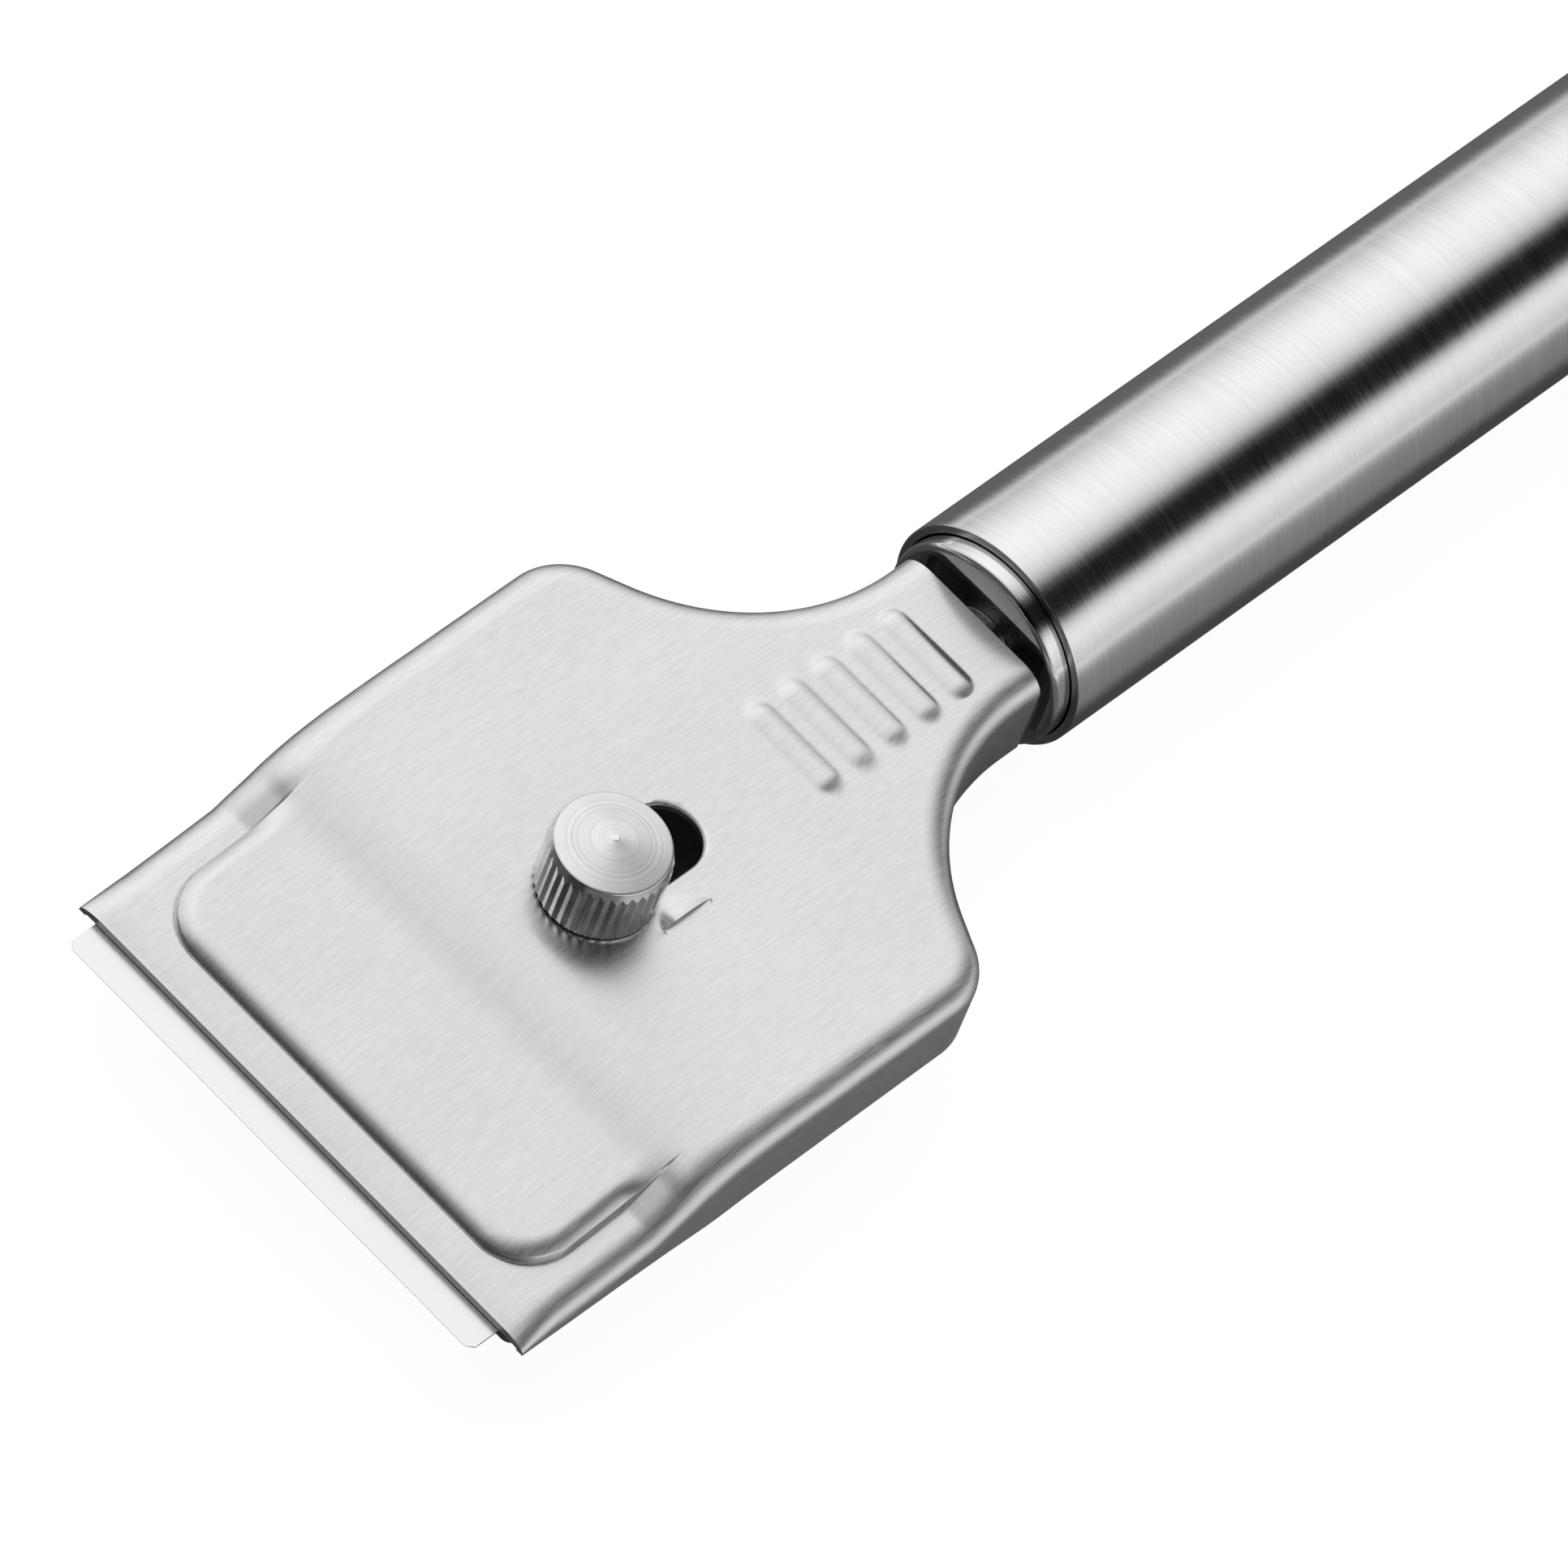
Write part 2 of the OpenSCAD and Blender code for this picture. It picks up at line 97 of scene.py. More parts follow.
class HeadSizes(bpy.types.PropertyGroup):
    """Sizes of the pressed head."""

    sheet: length("Sheet", "Thickness of the cover sheet", 0.6)
    bend: length("Bend", "Width of the rolled edge", 2.1)
    top: length("Top", "Height of the flat top above the tube axis", 4.35)
    neck: length("Neck", "Width of the neck", 13.2)
    shoulder: length("Shoulder", "Radius of the convex shoulder", 5.2)
    waist: length("Waist", "Radius of the concave waist", 17.2)
    slot_width: length("Slot width", "Width of the slot", 5.5)
    travel: length("Travel", "Travel of the knob in the slot", 6.45)
    rib_pitch: length("Rib pitch", "Distance between thumb ribs", 3.2)
    rib_height: length("Rib height", "Height of a thumb rib", 0.3)


class KnobSizes(bpy.types.PropertyGroup):
    """Sizes of the knurled knob."""

    teeth: bpy.props.IntProperty(name="Teeth", description="Number of teeth round the knob",
                                 default=36)
    tip: length("Tip", "Radius over the teeth", 4.36)
    depth: length("Depth", "Depth of the teeth", 0.14)
    band: length("Band", "Height of the chamfer that cuts the ends of the teeth", 0.9)
    rim: length("Rim", "Radius of the coned top", 4.08)
    cone: length("Cone", "Rise of the coned top", 0.72)


class FinishColours(bpy.types.PropertyGroup):
    """Colours of the finishes."""

    cover: tone("Cover", "Brushed sheet", "#E4E4E4")
    tube: tone("Tube", "Brushed tube", "#E2E2E2")
    polished: tone("Polished", "Polished steel", "#DEDEDE")
    knob: tone("Knob", "Turned steel", "#E7E7E7")
    blade: tone("Blade", "Ground blade steel", "#EDEDED")
    # The tray's dark grey is painted shade, for the deep shade seen through the slot
    dull: tone("Dull", "Rolled steel of the tray", "#7C7C7C")
    plain: tone("Plain", "Plain steel of the hidden pieces", "#BEBEBE")


class StageSettings(bpy.types.PropertyGroup):
    """Camera and light."""

    lens: bpy.props.FloatProperty(name="Lens", default=436.1, min=1.0,
                                  description="Focal length of the camera, in millimetres")
    light: bpy.props.FloatProperty(name="Light", default=1.45, min=0.0,
                                   description="Strength of the soft light")


def group(name):
    """One of the property groups on the scene."""
    return getattr(bpy.context.scene, "scraper_" + name)


def in_millimetres(name):
    """The lengths of a property group in millimetres, its counts as they are."""
    held = group(name)
    values = {key: getattr(held, key) for key in held.__annotations__}
    return SimpleNamespace(**{key: value if isinstance(value, int) else value / MM
                              for key, value in values.items()})


def node(tree, kind, inputs=None, stops=(), **settings):
    """Adds one node: its settings, its inputs as values or nodes to link, and a ramp's stops."""
    made = tree.nodes.new(kind)
    for key, value in settings.items():
        setattr(made, key, value)
    for key, value in (inputs or {}).items():
        if isinstance(value, bpy.types.Node):
            value = next(socket for socket in value.outputs if socket.enabled)
        if isinstance(value, bpy.types.NodeSocket):
            tree.links.new(value, made.inputs[key])
        else:
            made.inputs[key].default_value = value
    for count, (place, level) in enumerate(stops):
        elements = made.color_ramp.elements
        element = elements[count] if count < 2 else elements.new(place)
        element.position = place
        element.color = (level, level, level, 1)
    return made


def steel(name, base, roughness, anisotropy=0.0):
    """Bare steel with the default IOR: its material, tree, shader and Object coordinates."""
    material = bpy.data.materials.new(name)
    material.use_nodes = True
    tree = material.node_tree
    shader = tree.nodes["Principled BSDF"]
    shader.inputs["Base Color"].default_value = base
    shader.inputs["Metallic"].default_value = 1.0
    shader.inputs["Roughness"].default_value = roughness
    shader.inputs["Anisotropic"].default_value = anisotropy
    material.diffuse_color = base
    if anisotropy:
        # The sheen is drawn out along the first direction of the lay, across the brushing
        tangent = node(tree, "ShaderNodeTangent", direction_type="UV_MAP", uv_map="Lay")
        tree.links.new(tangent.outputs["Tangent"], shader.inputs["Tangent"])
    place = node(tree, "ShaderNodeTexCoord").outputs["Object"]
    return material, tree, shader, place


def streaks(tree, place, counts, detail, roughness=0.5):
    """A pattern drawn out by how many of its streaks go to the millimetre in each direction."""
    drawn = node(tree, "ShaderNodeMapping",
                 {"Vector": place, "Scale": [count / MM for count in counts]})
    return node(tree, "ShaderNodeTexNoise",
                {"Vector": drawn, "Scale": 1.0, "Detail": detail, "Roughness": roughness})


def worked(tree, shader, pattern, contrast, roughness, depth, span=(0.3, 0.7)):
    """Lets a pattern darken the metal by a share, change its roughness and raise it.

    Roughness and span are the least and most, and depth is in millimetres.
    """
    ends = {"Value": pattern, "From Min": span[0], "From Max": span[1]}
    base = shader.inputs["Base Color"].default_value[:3]
    shade = node(tree, "ShaderNodeMapRange", {**ends, "To Min": 1 - contrast, "To Max": 1.0})
    shaded = node(tree, "ShaderNodeVectorMath", {0: base, "Scale": shade}, operation="SCALE")
    tree.links.new(shaded.outputs[0], shader.inputs["Base Color"])
    smooth, rough = roughness
    polish = node(tree, "ShaderNodeMapRange", {**ends, "To Min": smooth, "To Max": rough})
    tree.links.new(polish.outputs[0], shader.inputs["Roughness"])
    raised = node(tree, "ShaderNodeBump", {"Height": pattern, "Distance": depth * MM})
    tree.links.new(raised.outputs[0], shader.inputs["Normal"])
    return raised


def brushed_sheet_steel():
    """Stainless sheet brushed along its length with a belt: a satin sheen drawn out across."""
    material, tree, shader, place = steel("brushed_stainless_sheet", group("colours").cover,
                                          0.32, 0.7)
    lay = node(tree, "ShaderNodeUVMap", uv_map="Lay")
    # Belt scratches are finer than the eye parts: they are drawn 0.16 mm apart and 1.7 mm long so
    # that they show, with others 0.33 mm apart and 7 mm long between them, and clouds 9 mm wide
    scratches = streaks(tree, lay, (6.4, 0.6, 0), 1.5)
    bands = streaks(tree, lay, (3, 0.15, 0), 2.0)
    clouds = streaks(tree, place, (0.045, 0.11, 0.11), 2.0)
    wide = node(tree, "ShaderNodeMix", {0: 0.35, 2: bands, 3: clouds})
    both = node(tree, "ShaderNodeMix", {0: 0.45, 2: scratches, 3: wide})
    raised = worked(tree, shader, both, 0.17, (0.28, 0.34), 0.0004, (0.36, 0.64))
    # The pressed sheet is not quite flat, which gives the sheen waves 14 to 25 mm long
    waves = streaks(tree, place, (0.07, 0.04, 0.04), 1.0)
    flat = node(tree, "ShaderNodeBump", {"Height": waves, "Distance": 0.4 * MM})
    tree.links.new(flat.outputs[0], raised.inputs["Normal"])
    return material


def brushed_tube_steel():
    """Stainless tube brushed round its circumference: bands of light stay sharp along the tube."""
    material, tree, shader, place = steel("brushed_stainless_tube", group("colours").tube,
                                          0.21, 0.75)
    # Brushing lines 0.13 mm apart run 7 mm of the way round, in bands about 1 mm wide
    lines = streaks(tree, place, (7.5, 0.14, 0.14), 3.0, 0.65)
    bands = streaks(tree, place, (0.9, 0.06, 0.06), 3.0)
    both = node(tree, "ShaderNodeMix", {0: 0.2, 2: lines, 3: bands})
    worked(tree, shader, both, 0.14, (0.17, 0.25), 0.001, (0.36, 0.64))
    return material


def polished_steel():
    """Mirror polished stainless steel with faint wiping marks."""
    material, tree, shader, place = steel("polished_stainless", group("colours").polished, 0.07)
    # Wiping marks 0.4 mm apart run 7 mm of the way round
    marks = streaks(tree, place, (2.5, 0.15, 0.15), 3.0)
    worked(tree, shader, marks, 0.08, (0.06, 0.13), 0.0003)
    return material


# Radius of the knob's nub left by the parting tool, in millimetres: a painted highlight there
NUB_HIGHLIGHT_RADIUS = 0.34
# The roller leaves the side of the knob brighter than its top
SIDE_ROUGHNESS = 0.13


def turned_steel(centre, rim):
    """Turned steel: satin coned top, rings round a nub with a painted highlight, smooth rolled
    side.

    The top begins above the rim, a height in metres.
    """
    material, tree, shader, place = steel("turned_stainless_knob", group("colours").knob,
                                          0.24, 0.65)
    radial = node(tree, "ShaderNodeVectorMath", {0: place, 1: centre}, operation="SUBTRACT")
    flat = node(tree, "ShaderNodeVectorMath", {0: radial, 1: (1, 1, 0)}, operation="MULTIPLY")
    out = node(tree, "ShaderNodeVectorMath", {0: flat}, operation="LENGTH")
    # Turning marks are drawn 0.2 mm apart so that they show, with broader ones 0.8 mm apart
    fine = node(tree, "ShaderNodeTexNoise",
                {"W": out, "Scale": 5 / MM, "Detail": 3.0, "Roughness": 0.7}, noise_dimensions="1D")
    broad = node(tree, "ShaderNodeTexNoise", {"W": out, "Scale": 1.3 / MM, "Detail": 2.0},
                 noise_dimensions="1D")
    rings = node(tree, "ShaderNodeMix", {0: 0.4, 2: fine, 3: broad})
    # Handling marks lie 2.4 mm apart
    marks = node(tree, "ShaderNodeTexNoise", {"Vector": place, "Scale": 0.42 / MM, "Detail": 3.0})
    both = node(tree, "ShaderNodeMix", {0: 0.2, 2: rings, 3: marks})
    # In the nub the pattern is held at its top and the colour stays bright: a painted highlight
    nub = node(tree, "ShaderNodeMath", {0: out, 1: NUB_HIGHLIGHT_RADIUS * MM}, operation="LESS_THAN")
    face = node(tree, "ShaderNodeMix", {0: nub, 2: both, 3: 1.0})
    height = node(tree, "ShaderNodeSeparateXYZ", {0: place}).outputs["Z"]
    top = node(tree, "ShaderNodeMath", {0: height, 1: rim}, operation="GREATER_THAN")
    pattern = node(tree, "ShaderNodeMix", {0: top, 2: marks, 3: face})
    worked(tree, shader, pattern, 0.34, (0.24, 0.32), 0.01, (0.36, 0.64))
    satin = shader.inputs["Roughness"].links[0].from_socket
    polish = node(tree, "ShaderNodeMix", {0: top, 2: SIDE_ROUGHNESS, 3: satin})
    tree.links.new(polish.outputs[0], shader.inputs["Roughness"])
    return material


def blade_steel():
    """Hardened carbon steel strip, ground bright across the edge."""
    material, tree, shader, place = steel("ground_blade_steel", group("colours").blade, 0.3)
    # Grinding lines 0.11 mm apart run 7 mm back from the edge
    lines = streaks(tree, place, (0.15, 9, 0.4), 3.0, 0.6)
    worked(tree, shader, lines, 0.07, (0.27, 0.36), 0.0006)
    return material


def rolled_steel(name, base, roughness):
    """Cold rolled steel, dull grey with a faint grain along the roll."""
    material, tree, shader, place = steel(name, base, roughness)
    # The grain is 0.3 mm apart and 4 mm long
    grain = streaks(tree, place, (0.25, 3.5, 3.5), 4.0)
    worked(tree, shader, grain, 0.16, (roughness - 0.05, roughness + 0.08), 0.002)
    return material


def shown(name, mesh, sharp):
    """Puts a mesh into the scene. Edges past the sharp angle, in degrees, aren't smoothed."""
    mesh.shade_smooth()
    mesh.set_sharp_from_angle(angle=math.radians(sharp))
    thing = bpy.data.objects.new(name, mesh)
    bpy.context.scene.collection.objects.link(thing)
    return thing


def made(name, points, faces, lay=None, sharp=35):
    """An object from points in millimetres from the tube front, with a UV for each as its lay."""
    placed = np.asarray(points, float) * MM + np.array(ORIGIN)
    mesh = bpy.data.meshes.new(name)
    mesh.from_pydata(placed.tolist(), [], [list(map(int, f)) for f in faces])
    if lay is not None:
        layer = mesh.uv_layers.new(name="Lay")
        corners = np.zeros(len(mesh.loops), int)
        mesh.loops.foreach_get("vertex_index", corners)
        layer.data.foreach_set("uv", np.asarray(lay, float)[corners].astype(np.float32).ravel())
    mesh.validate()
    return shown(name, mesh, sharp)


def dressed(thing, material, body, slot, *nodes):
    """Gives a piece its finish and its body, and hides the CAD nodes that it stands for."""
    if material:
        thing.data.materials.clear()
        thing.data.materials.append(material)
    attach(thing, body)
    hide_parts(*nodes)


def baked(thing):
    """Puts the object's evaluated mesh in place of its modifiers."""
    evaluated = thing.evaluated_get(bpy.context.evaluated_depsgraph_get())
    mesh = bpy.data.meshes.new_from_object(evaluated)
    thing.modifiers.clear()
    old = thing.data
    thing.data = mesh
    bpy.data.meshes.remove(old)


# Corners of a CAD mesh closer than this are one, in metres, and faces within this angle are flat
MERGED = 2e-6
FLAT = math.radians(0.5)
# Edges sharper than this are broken by a bevel
BROKEN = math.radians(40)


def copied(name, source, bevel=0.0, sharp=30):
    """A merged copy of a CAD node, with its edges broken by a small bevel in millimetres."""
    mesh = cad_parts[source].data.copy()
    mesh.materials.clear()
    work = bmesh.new()
    work.from_mesh(mesh)
    bmesh.ops.remove_doubles(work, verts=work.verts, dist=MERGED)
    bmesh.ops.dissolve_limit(work, angle_limit=FLAT, verts=work.verts, edges=work.edges)
    work.to_mesh(mesh)
    work.free()
    thing = shown(name, mesh, sharp)
    if bevel:
        cut = thing.modifiers.new("Broken edges", "BEVEL")
        cut.width = bevel * MM
        cut.segments = 2
        cut.limit_method = "ANGLE"
        cut.angle_limit = BROKEN
        cut.harden_normals = True
        baked(thing)
    return thing


def arc(centre, radius, start, end, steps):
    """Points of an arc in a profile, by its start and end angles in degrees."""
    turns = np.radians(np.linspace(start, end, steps + 1))
    return [(centre[0] + radius * math.cos(t), centre[1] + radius * math.sin(t)) for t in turns]


LATHE_STEPS = 256


def lathe(name, profile):
    """A ring turned round the tube axis from a closed profile of (x, radius) points."""
    profile = np.array(profile, float)
    steps = np.hypot(*np.diff(profile, axis=0).T)
    length = np.concatenate([[0], np.cumsum(steps)])
    angles = np.arange(LATHE_STEPS) * 2 * math.pi / LATHE_STEPS
    rows, lay, faces = [], [], []
    for (x, radius), along in zip(profile, length):
        rows += [(x, radius * math.sin(a), radius * math.cos(a)) for a in angles]
        lay += [(along * MM, k / LATHE_STEPS) for k in range(LATHE_STEPS)]
    for row in range(len(profile)):
        lower = row * LATHE_STEPS
        upper = (row + 1) % len(profile) * LATHE_STEPS
        for k in range(LATHE_STEPS):
            n = (k + 1) % LATHE_STEPS
            faces.append((lower + k, lower + n, upper + n, upper + k))
    return made(name, rows, faces, lay, 30)


# Height of the side strip below the flat top, by distance from the front edge, in millimetres
STRIP = [(0, 5.2), (0.7, 4.93), (1.55, 4.7), (3.05, 4.4), (7.75, 4.0), (11.05, 3.65),
         (11.95, 3.55), (13.35, 2.81), (14.65, 2.21), (15.95, 1.48), (17.25, 0.97), (18.65, 0.54),
         (20.05, 0.3), (21.55, 0.12), (26.05, 0)]
# Where the ramp has come up to the height of the pad, both run on to the flat top as one
RAMP_END = [(17, 0.77), (18, 0.46), (19, 0.26), (20, 0.13), (21, 0.05), (22, 0.01), (23, 0)]
# Height of the sheet between the pad and the bend: it climbs ahead of the bend to meet the pad
BESIDE = STRIP[:7] + [(13.35, 2.78), (14.65, 2.05), (15.5, 1.5), (16.2, 1.12)] + RAMP_END
# Height of the raised pad below the flat top
PAD = [(0, 3.8), (3.05, 3.4), (13.4, 2.08), (14.1, 1.95), (15, 1.6), (16, 1.16)] + RAMP_END
# Height of the lower edge of the side walls below the flat top
WALL = [(0, 5.99), (4.65, 6.1), (9.25, 6.16), (13.85, 6.35), (17.05, 6.59), (18.3, 6.65),
        (20.05, 6.52), (23.05, 6.35), (27.65, 6.29), (32, 6.22), (38.4, 6.16), (63, 6.16)]
# How far the corners of these tables are rounded over: the sheet, the pad and the side walls
SHEET_SOFT = 0.22
PAD_SOFT = 0.35
WALL_SOFT = 0.5

# Sizes of the pressed forms, in millimetres. The tangent is the slope of the sides between
# shoulder and waist, and the waist's centre stands a little ahead of the end of the neck.
TANGENT = math.radians(25.6)
WAIST_AHEAD = 1.7
PAD_SETBACK = 2.68
PAD_CORNER = 4.4
PAD_MARGIN = 3.3
PAD_WALL = 1.45
# The lower part of the wall stands almost upright: its share of the height, and its width
PAD_STEP = 0.46
PAD_STEP_WIDTH = 0.1
# Half width and depth of the sharp crease along the foot of the pad, which fades out where the
# pad stands less than a height above the sheet
CREASE = 0.06
CREASE_DEPTH = 0.04
CREASE_FADE = 0.4
# The rolled edge grows by this much for each millimetre that the bend has sunk
BEND_GROWTH = 2
# The rolled edge falls by this much, but never by more than a share of the wall's height
EDGE_FALL = 1.5
EDGE_SHARE = 0.85
EDGE_LEAST = 0.05
BEND_STEPS = 12
# The walls are deeper at the neck, and come up over a length that begins ahead of its end
NECK_DROP = 7.75
NECK_DEEP = 4.5
NECK_RISE = 12.5
RIB_COUNT = 5
RIB_SETBACK = 5.0
RIB_STRAIGHT = 3.05
RIB_HALF = 1.14
# Each rib runs out into the sheet over a share of its half width, to both sides of its edge
RIB_EDGE = 0.09
RIB_EDGE_RISE = 5.3
MARK_X = (-37.8, -33.4)
MARK_Y = (-5.3, -3.6)
MARK_HEIGHT = 0.42
# Place of the highest point of the index mark along its length, the powers of its outline and
# of its slope, and the width of its tip
MARK_CREST = 0.42
MARK_OUTLINE = 0.7
MARK_SLOPE = 1.5
MARK_TIP = 0.05

# Sample lines in millimetres from the middle: close at the ends of the ribs and the index mark
NEAR_LINES = [0.7, 1.4, 2.1, 2.6, 2.9, 3.2, 3.6, 3.75, 3.9, 4.1, 4.3, 4.5, 4.7, 4.9, 5.1, 5.28,
              5.31, 5.7, 6.3]
# Sample lines by their distance inside the foot of the pad
WALL_LINES = [2.0, 1.8, 1.6, 1.4, 1.2, 1.05, 0.9, 0.75, 0.6, 0.48, 0.36, 0.26, 0.17, 0.1, 0.04, 0]
# Sample lines by their share of the way from the foot of the pad to the bend
STRIP_LINES = [0.03, 0.08, 0.16, 0.26, 0.38, 0.5, 0.62, 0.75, 0.88, 1]


def smoothed(table, x, soft):
    """A table read at x with its corners rounded over a distance, in millimetres."""
    keys, values = zip(*table)
    shifts = np.linspace(-2, 2, 17)
    weights = np.exp(-shifts * shifts)
    reads = [w * np.interp(x + s * soft, keys, values) for s, w in zip(shifts, weights)]
    return sum(reads) / weights.sum()


def ease(u):
    """A smooth step from 0 to 1 as u goes from 0 to 1."""
    u = np.clip(u, 0, 1)
    return u * u * (3 - 2 * u)


def mix(a, b, u):
    """The value a share u of the way from a to b."""
    return a + (b - a) * u


class Head:
    """The shape of the pressed head, worked out from its sizes."""

    def __init__(self):
        self.s = s = in_millimetres("head")
        waist_x, waist_y = self.waist_centre = (NECK_END - WAIST_AHEAD, s.neck / 2 + s.waist)
        self.shoulder_y = HALF_HEAD - s.shoulder
        u, v = math.cos(TANGENT), math.sin(TANGENT)
        both = s.shoulder + s.waist
        straight = (self.shoulder_y + both * v - waist_y) / u
        self.shoulder_x = waist_x - both * u - straight * v

    def half_width(self, x, inset):
        """Half width of the outline drawn in by a distance."""
        s = self.s
        cx, cy = self.waist_centre
        u, v = math.cos(TANGENT), math.sin(TANGENT)
        touch_x = self.shoulder_x + (s.shoulder - inset) * u
        touch_y = self.shoulder_y + (s.shoulder - inset) * v
        waist = cy - np.sqrt(np.maximum(0, (s.waist + inset) ** 2 - (x - cx) ** 2))
        ahead = (s.shoulder - inset) ** 2 - (x - self.shoulder_x) ** 2
        shoulder = self.shoulder_y + np.sqrt(np.maximum(0, ahead))
        return np.select(
            [x >= cx, x >= cx - (s.waist + inset) * u, x >= touch_x, x >= self.shoulder_x],
            [s.neck / 2 - inset, waist, touch_y - (x - touch_x) / math.tan(TANGENT), shoulder],
            HALF_HEAD - inset)

    def beside(self, x):
        """Height of the sheet beside the pad."""
        return self.s.top - smoothed(BESIDE, x - FRONT, SHEET_SOFT)

    def crown(self, x):
        """How far the bend has sunk below the sheet beside the pad."""
        return self.beside(x) - self.s.top + smoothed(STRIP, x - FRONT, SHEET_SOFT)

    def bend(self, x):
        """Width of the rolled edge, which grows where the bend has sunk."""
        return self.s.bend + BEND_GROWTH * self.crown(x)

    def foot_y(self, x):
        """Half width of the pad at its foot."""
        ahead = np.clip(FRONT + PAD_SETBACK + PAD_CORNER - x, 0, PAD_CORNER)
        return HALF_HEAD - PAD_MARGIN - PAD_CORNER + np.sqrt(PAD_CORNER ** 2 - ahead ** 2)

    def wall_low(self, x):
        """Height of the lower edge of the side wall."""
        along = smoothed(WALL, x - FRONT, WALL_SOFT)
        return self.s.top - mix(NECK_DROP, along, ease((NECK_END - x - NECK_DEEP) / NECK_RISE))

    def surface(self, x, y):
        """Height of the outer face of the sheet."""
        sheet = self.beside(x)
        pad = self.s.top - smoothed(PAD, x - FRONT, PAD_SOFT)
        side = np.abs(y) - HALF_HEAD + PAD_MARGIN + PAD_CORNER
        ahead = FRONT + PAD_SETBACK + PAD_CORNER - x
        corner = np.hypot(np.maximum(side, 0), np.maximum(ahead, 0))
        past = corner + np.minimum(np.maximum(side, ahead), 0)
        # The wall of the pad is steep at its foot and rolls over onto the pad
        within = PAD_CORNER - past
        roll = 1 - (1 - np.clip(within / PAD_WALL, 0, 1)) ** 2
        wall = mix(roll, np.clip(within / PAD_STEP_WIDTH, 0, 1), PAD_STEP)
        crease = np.clip(1 - np.abs(within) / CREASE, 0, 1) * ease((pad - sheet) / CREASE_FADE)
        height = mix(sheet, np.maximum(sheet, pad), wall) - CREASE_DEPTH * crease
        return height + self.ribs(x, y) + self.mark(x, y)

    def ribs(self, x, y):
        """Five pressed thumb ribs: round in section, with crisp edges."""
        height = 0
        for k in range(RIB_COUNT):
            centre = NECK_END - RIB_SETBACK - k * self.s.rib_pitch
            out = np.hypot(x - centre, np.maximum(0, np.abs(y) - RIB_STRAIGHT)) / RIB_HALF
            edge = RIB_EDGE_RISE * np.clip(1 + RIB_EDGE - out, 0, 1) ** 2
            rib = np.where(out < 1 - RIB_EDGE, 1 - out ** 2, edge)
            height = height + self.s.rib_height * rib
        return height

    def mark(self, x, y):
        """The lanced index mark: sheared along one side, fading into the sheet on the other."""
        share = (x - MARK_X[0]) / (MARK_X[1] - MARK_X[0])
        across = (y - MARK_Y[0]) / (MARK_Y[1] - MARK_Y[0])
        # Blunt near the knob, drawn out to a tip behind
        ahead, behind = (MARK_CREST - share) / MARK_CREST, (share - MARK_CREST) / (1 - MARK_CREST)
        along = np.clip(1 - np.maximum(ahead, behind) ** 2, 0, 1) ** MARK_OUTLINE
        fall = np.clip(1 - across / np.maximum(MARK_TIP, along), 0, 1) ** MARK_SLOPE
        return np.where((across >= 0) & (across <= 1), MARK_HEIGHT * along * fall, 0)

    def stations(self):
        """Cross stations along the head, closer together where the sheet bends."""
        foot = FRONT + PAD_SETBACK
        # Each stretch by its far end and the distance between its stations
        stretches = [(foot - 0.15, 0.17), (foot + 0.5, 0.05), (foot + 2, 0.12),
                     (FRONT + 11.2, 0.5), (FRONT + 17, 0.16), (FRONT + 22, 0.4),
                     (KNOB_X + 1.2, 0.8), (MARK_X[1] + 0.2, 0.13), (self.shoulder_x - 3, 0.6),
                     (NECK_END - 3, 0.17), (NECK_END, 0.4)]
        places, start = [], FRONT
        for end, step in stretches:
            count = max(2, round((end - start) / step) + 1)
            places.append(np.linspace(start, end, count)[:-1])
            start = end
        return np.concatenate(places + [[NECK_END]])

    def lines(self, x):
        """Sample lines from the middle to the bend; they crowd along the foot of the pad."""
        edge, foot = HALF_HEAD - self.bend(x), HALF_HEAD - PAD_MARGIN
        # Even lines run to a little inside the foot of the pad
        flat = foot - 2.3
        inner = np.concatenate([NEAR_LINES, np.linspace(7.2, flat, 9)])
        wall = foot - np.array(WALL_LINES)
        outer = foot + (edge - foot) * np.array(STRIP_LINES)
        # At the front corners the lines close in with the foot of the pad
        shift = self.foot_y(x) - foot
        return np.hstack([inner * (flat + shift) / flat, wall + shift,
                          outer + shift * (edge - outer) / (edge - foot)])

    def face(self, x, depth):
        """One side of the section at each station, drawn in by a depth.

        Gives y of the sample lines, and y and z of the bend and the side wall below it.
        """
        s = self.s
        x = x[:, None]
        bend = self.bend(x)
        y_top = self.lines(x) * self.half_width(x, bend) / (HALF_HEAD - bend)
        edge_z, low = self.beside(x) - depth, self.wall_low(x)
        # The sheet rolls down over the edge in a quarter of an ellipse, flat where the wall is low
        most = EDGE_SHARE * (self.beside(x) - low)
        fall = np.minimum(EDGE_FALL + self.crown(x), most) - depth
        turn = np.linspace(0, math.pi / 2, BEND_STEPS + 1)[None, 1:]
        y_roll = self.half_width(x, bend - (bend - depth) * np.sin(turn))
        z_roll = edge_z - np.maximum(EDGE_LEAST, fall) * (1 - np.cos(turn))
        y_wall = self.half_width(x, depth + 0 * x)
        falls = [mix(z_roll[:, -1:], low, u) for u in (0.5, 1.0)]
        return y_top, np.hstack([y_roll, y_wall, y_wall]), np.hstack([z_roll] + falls)

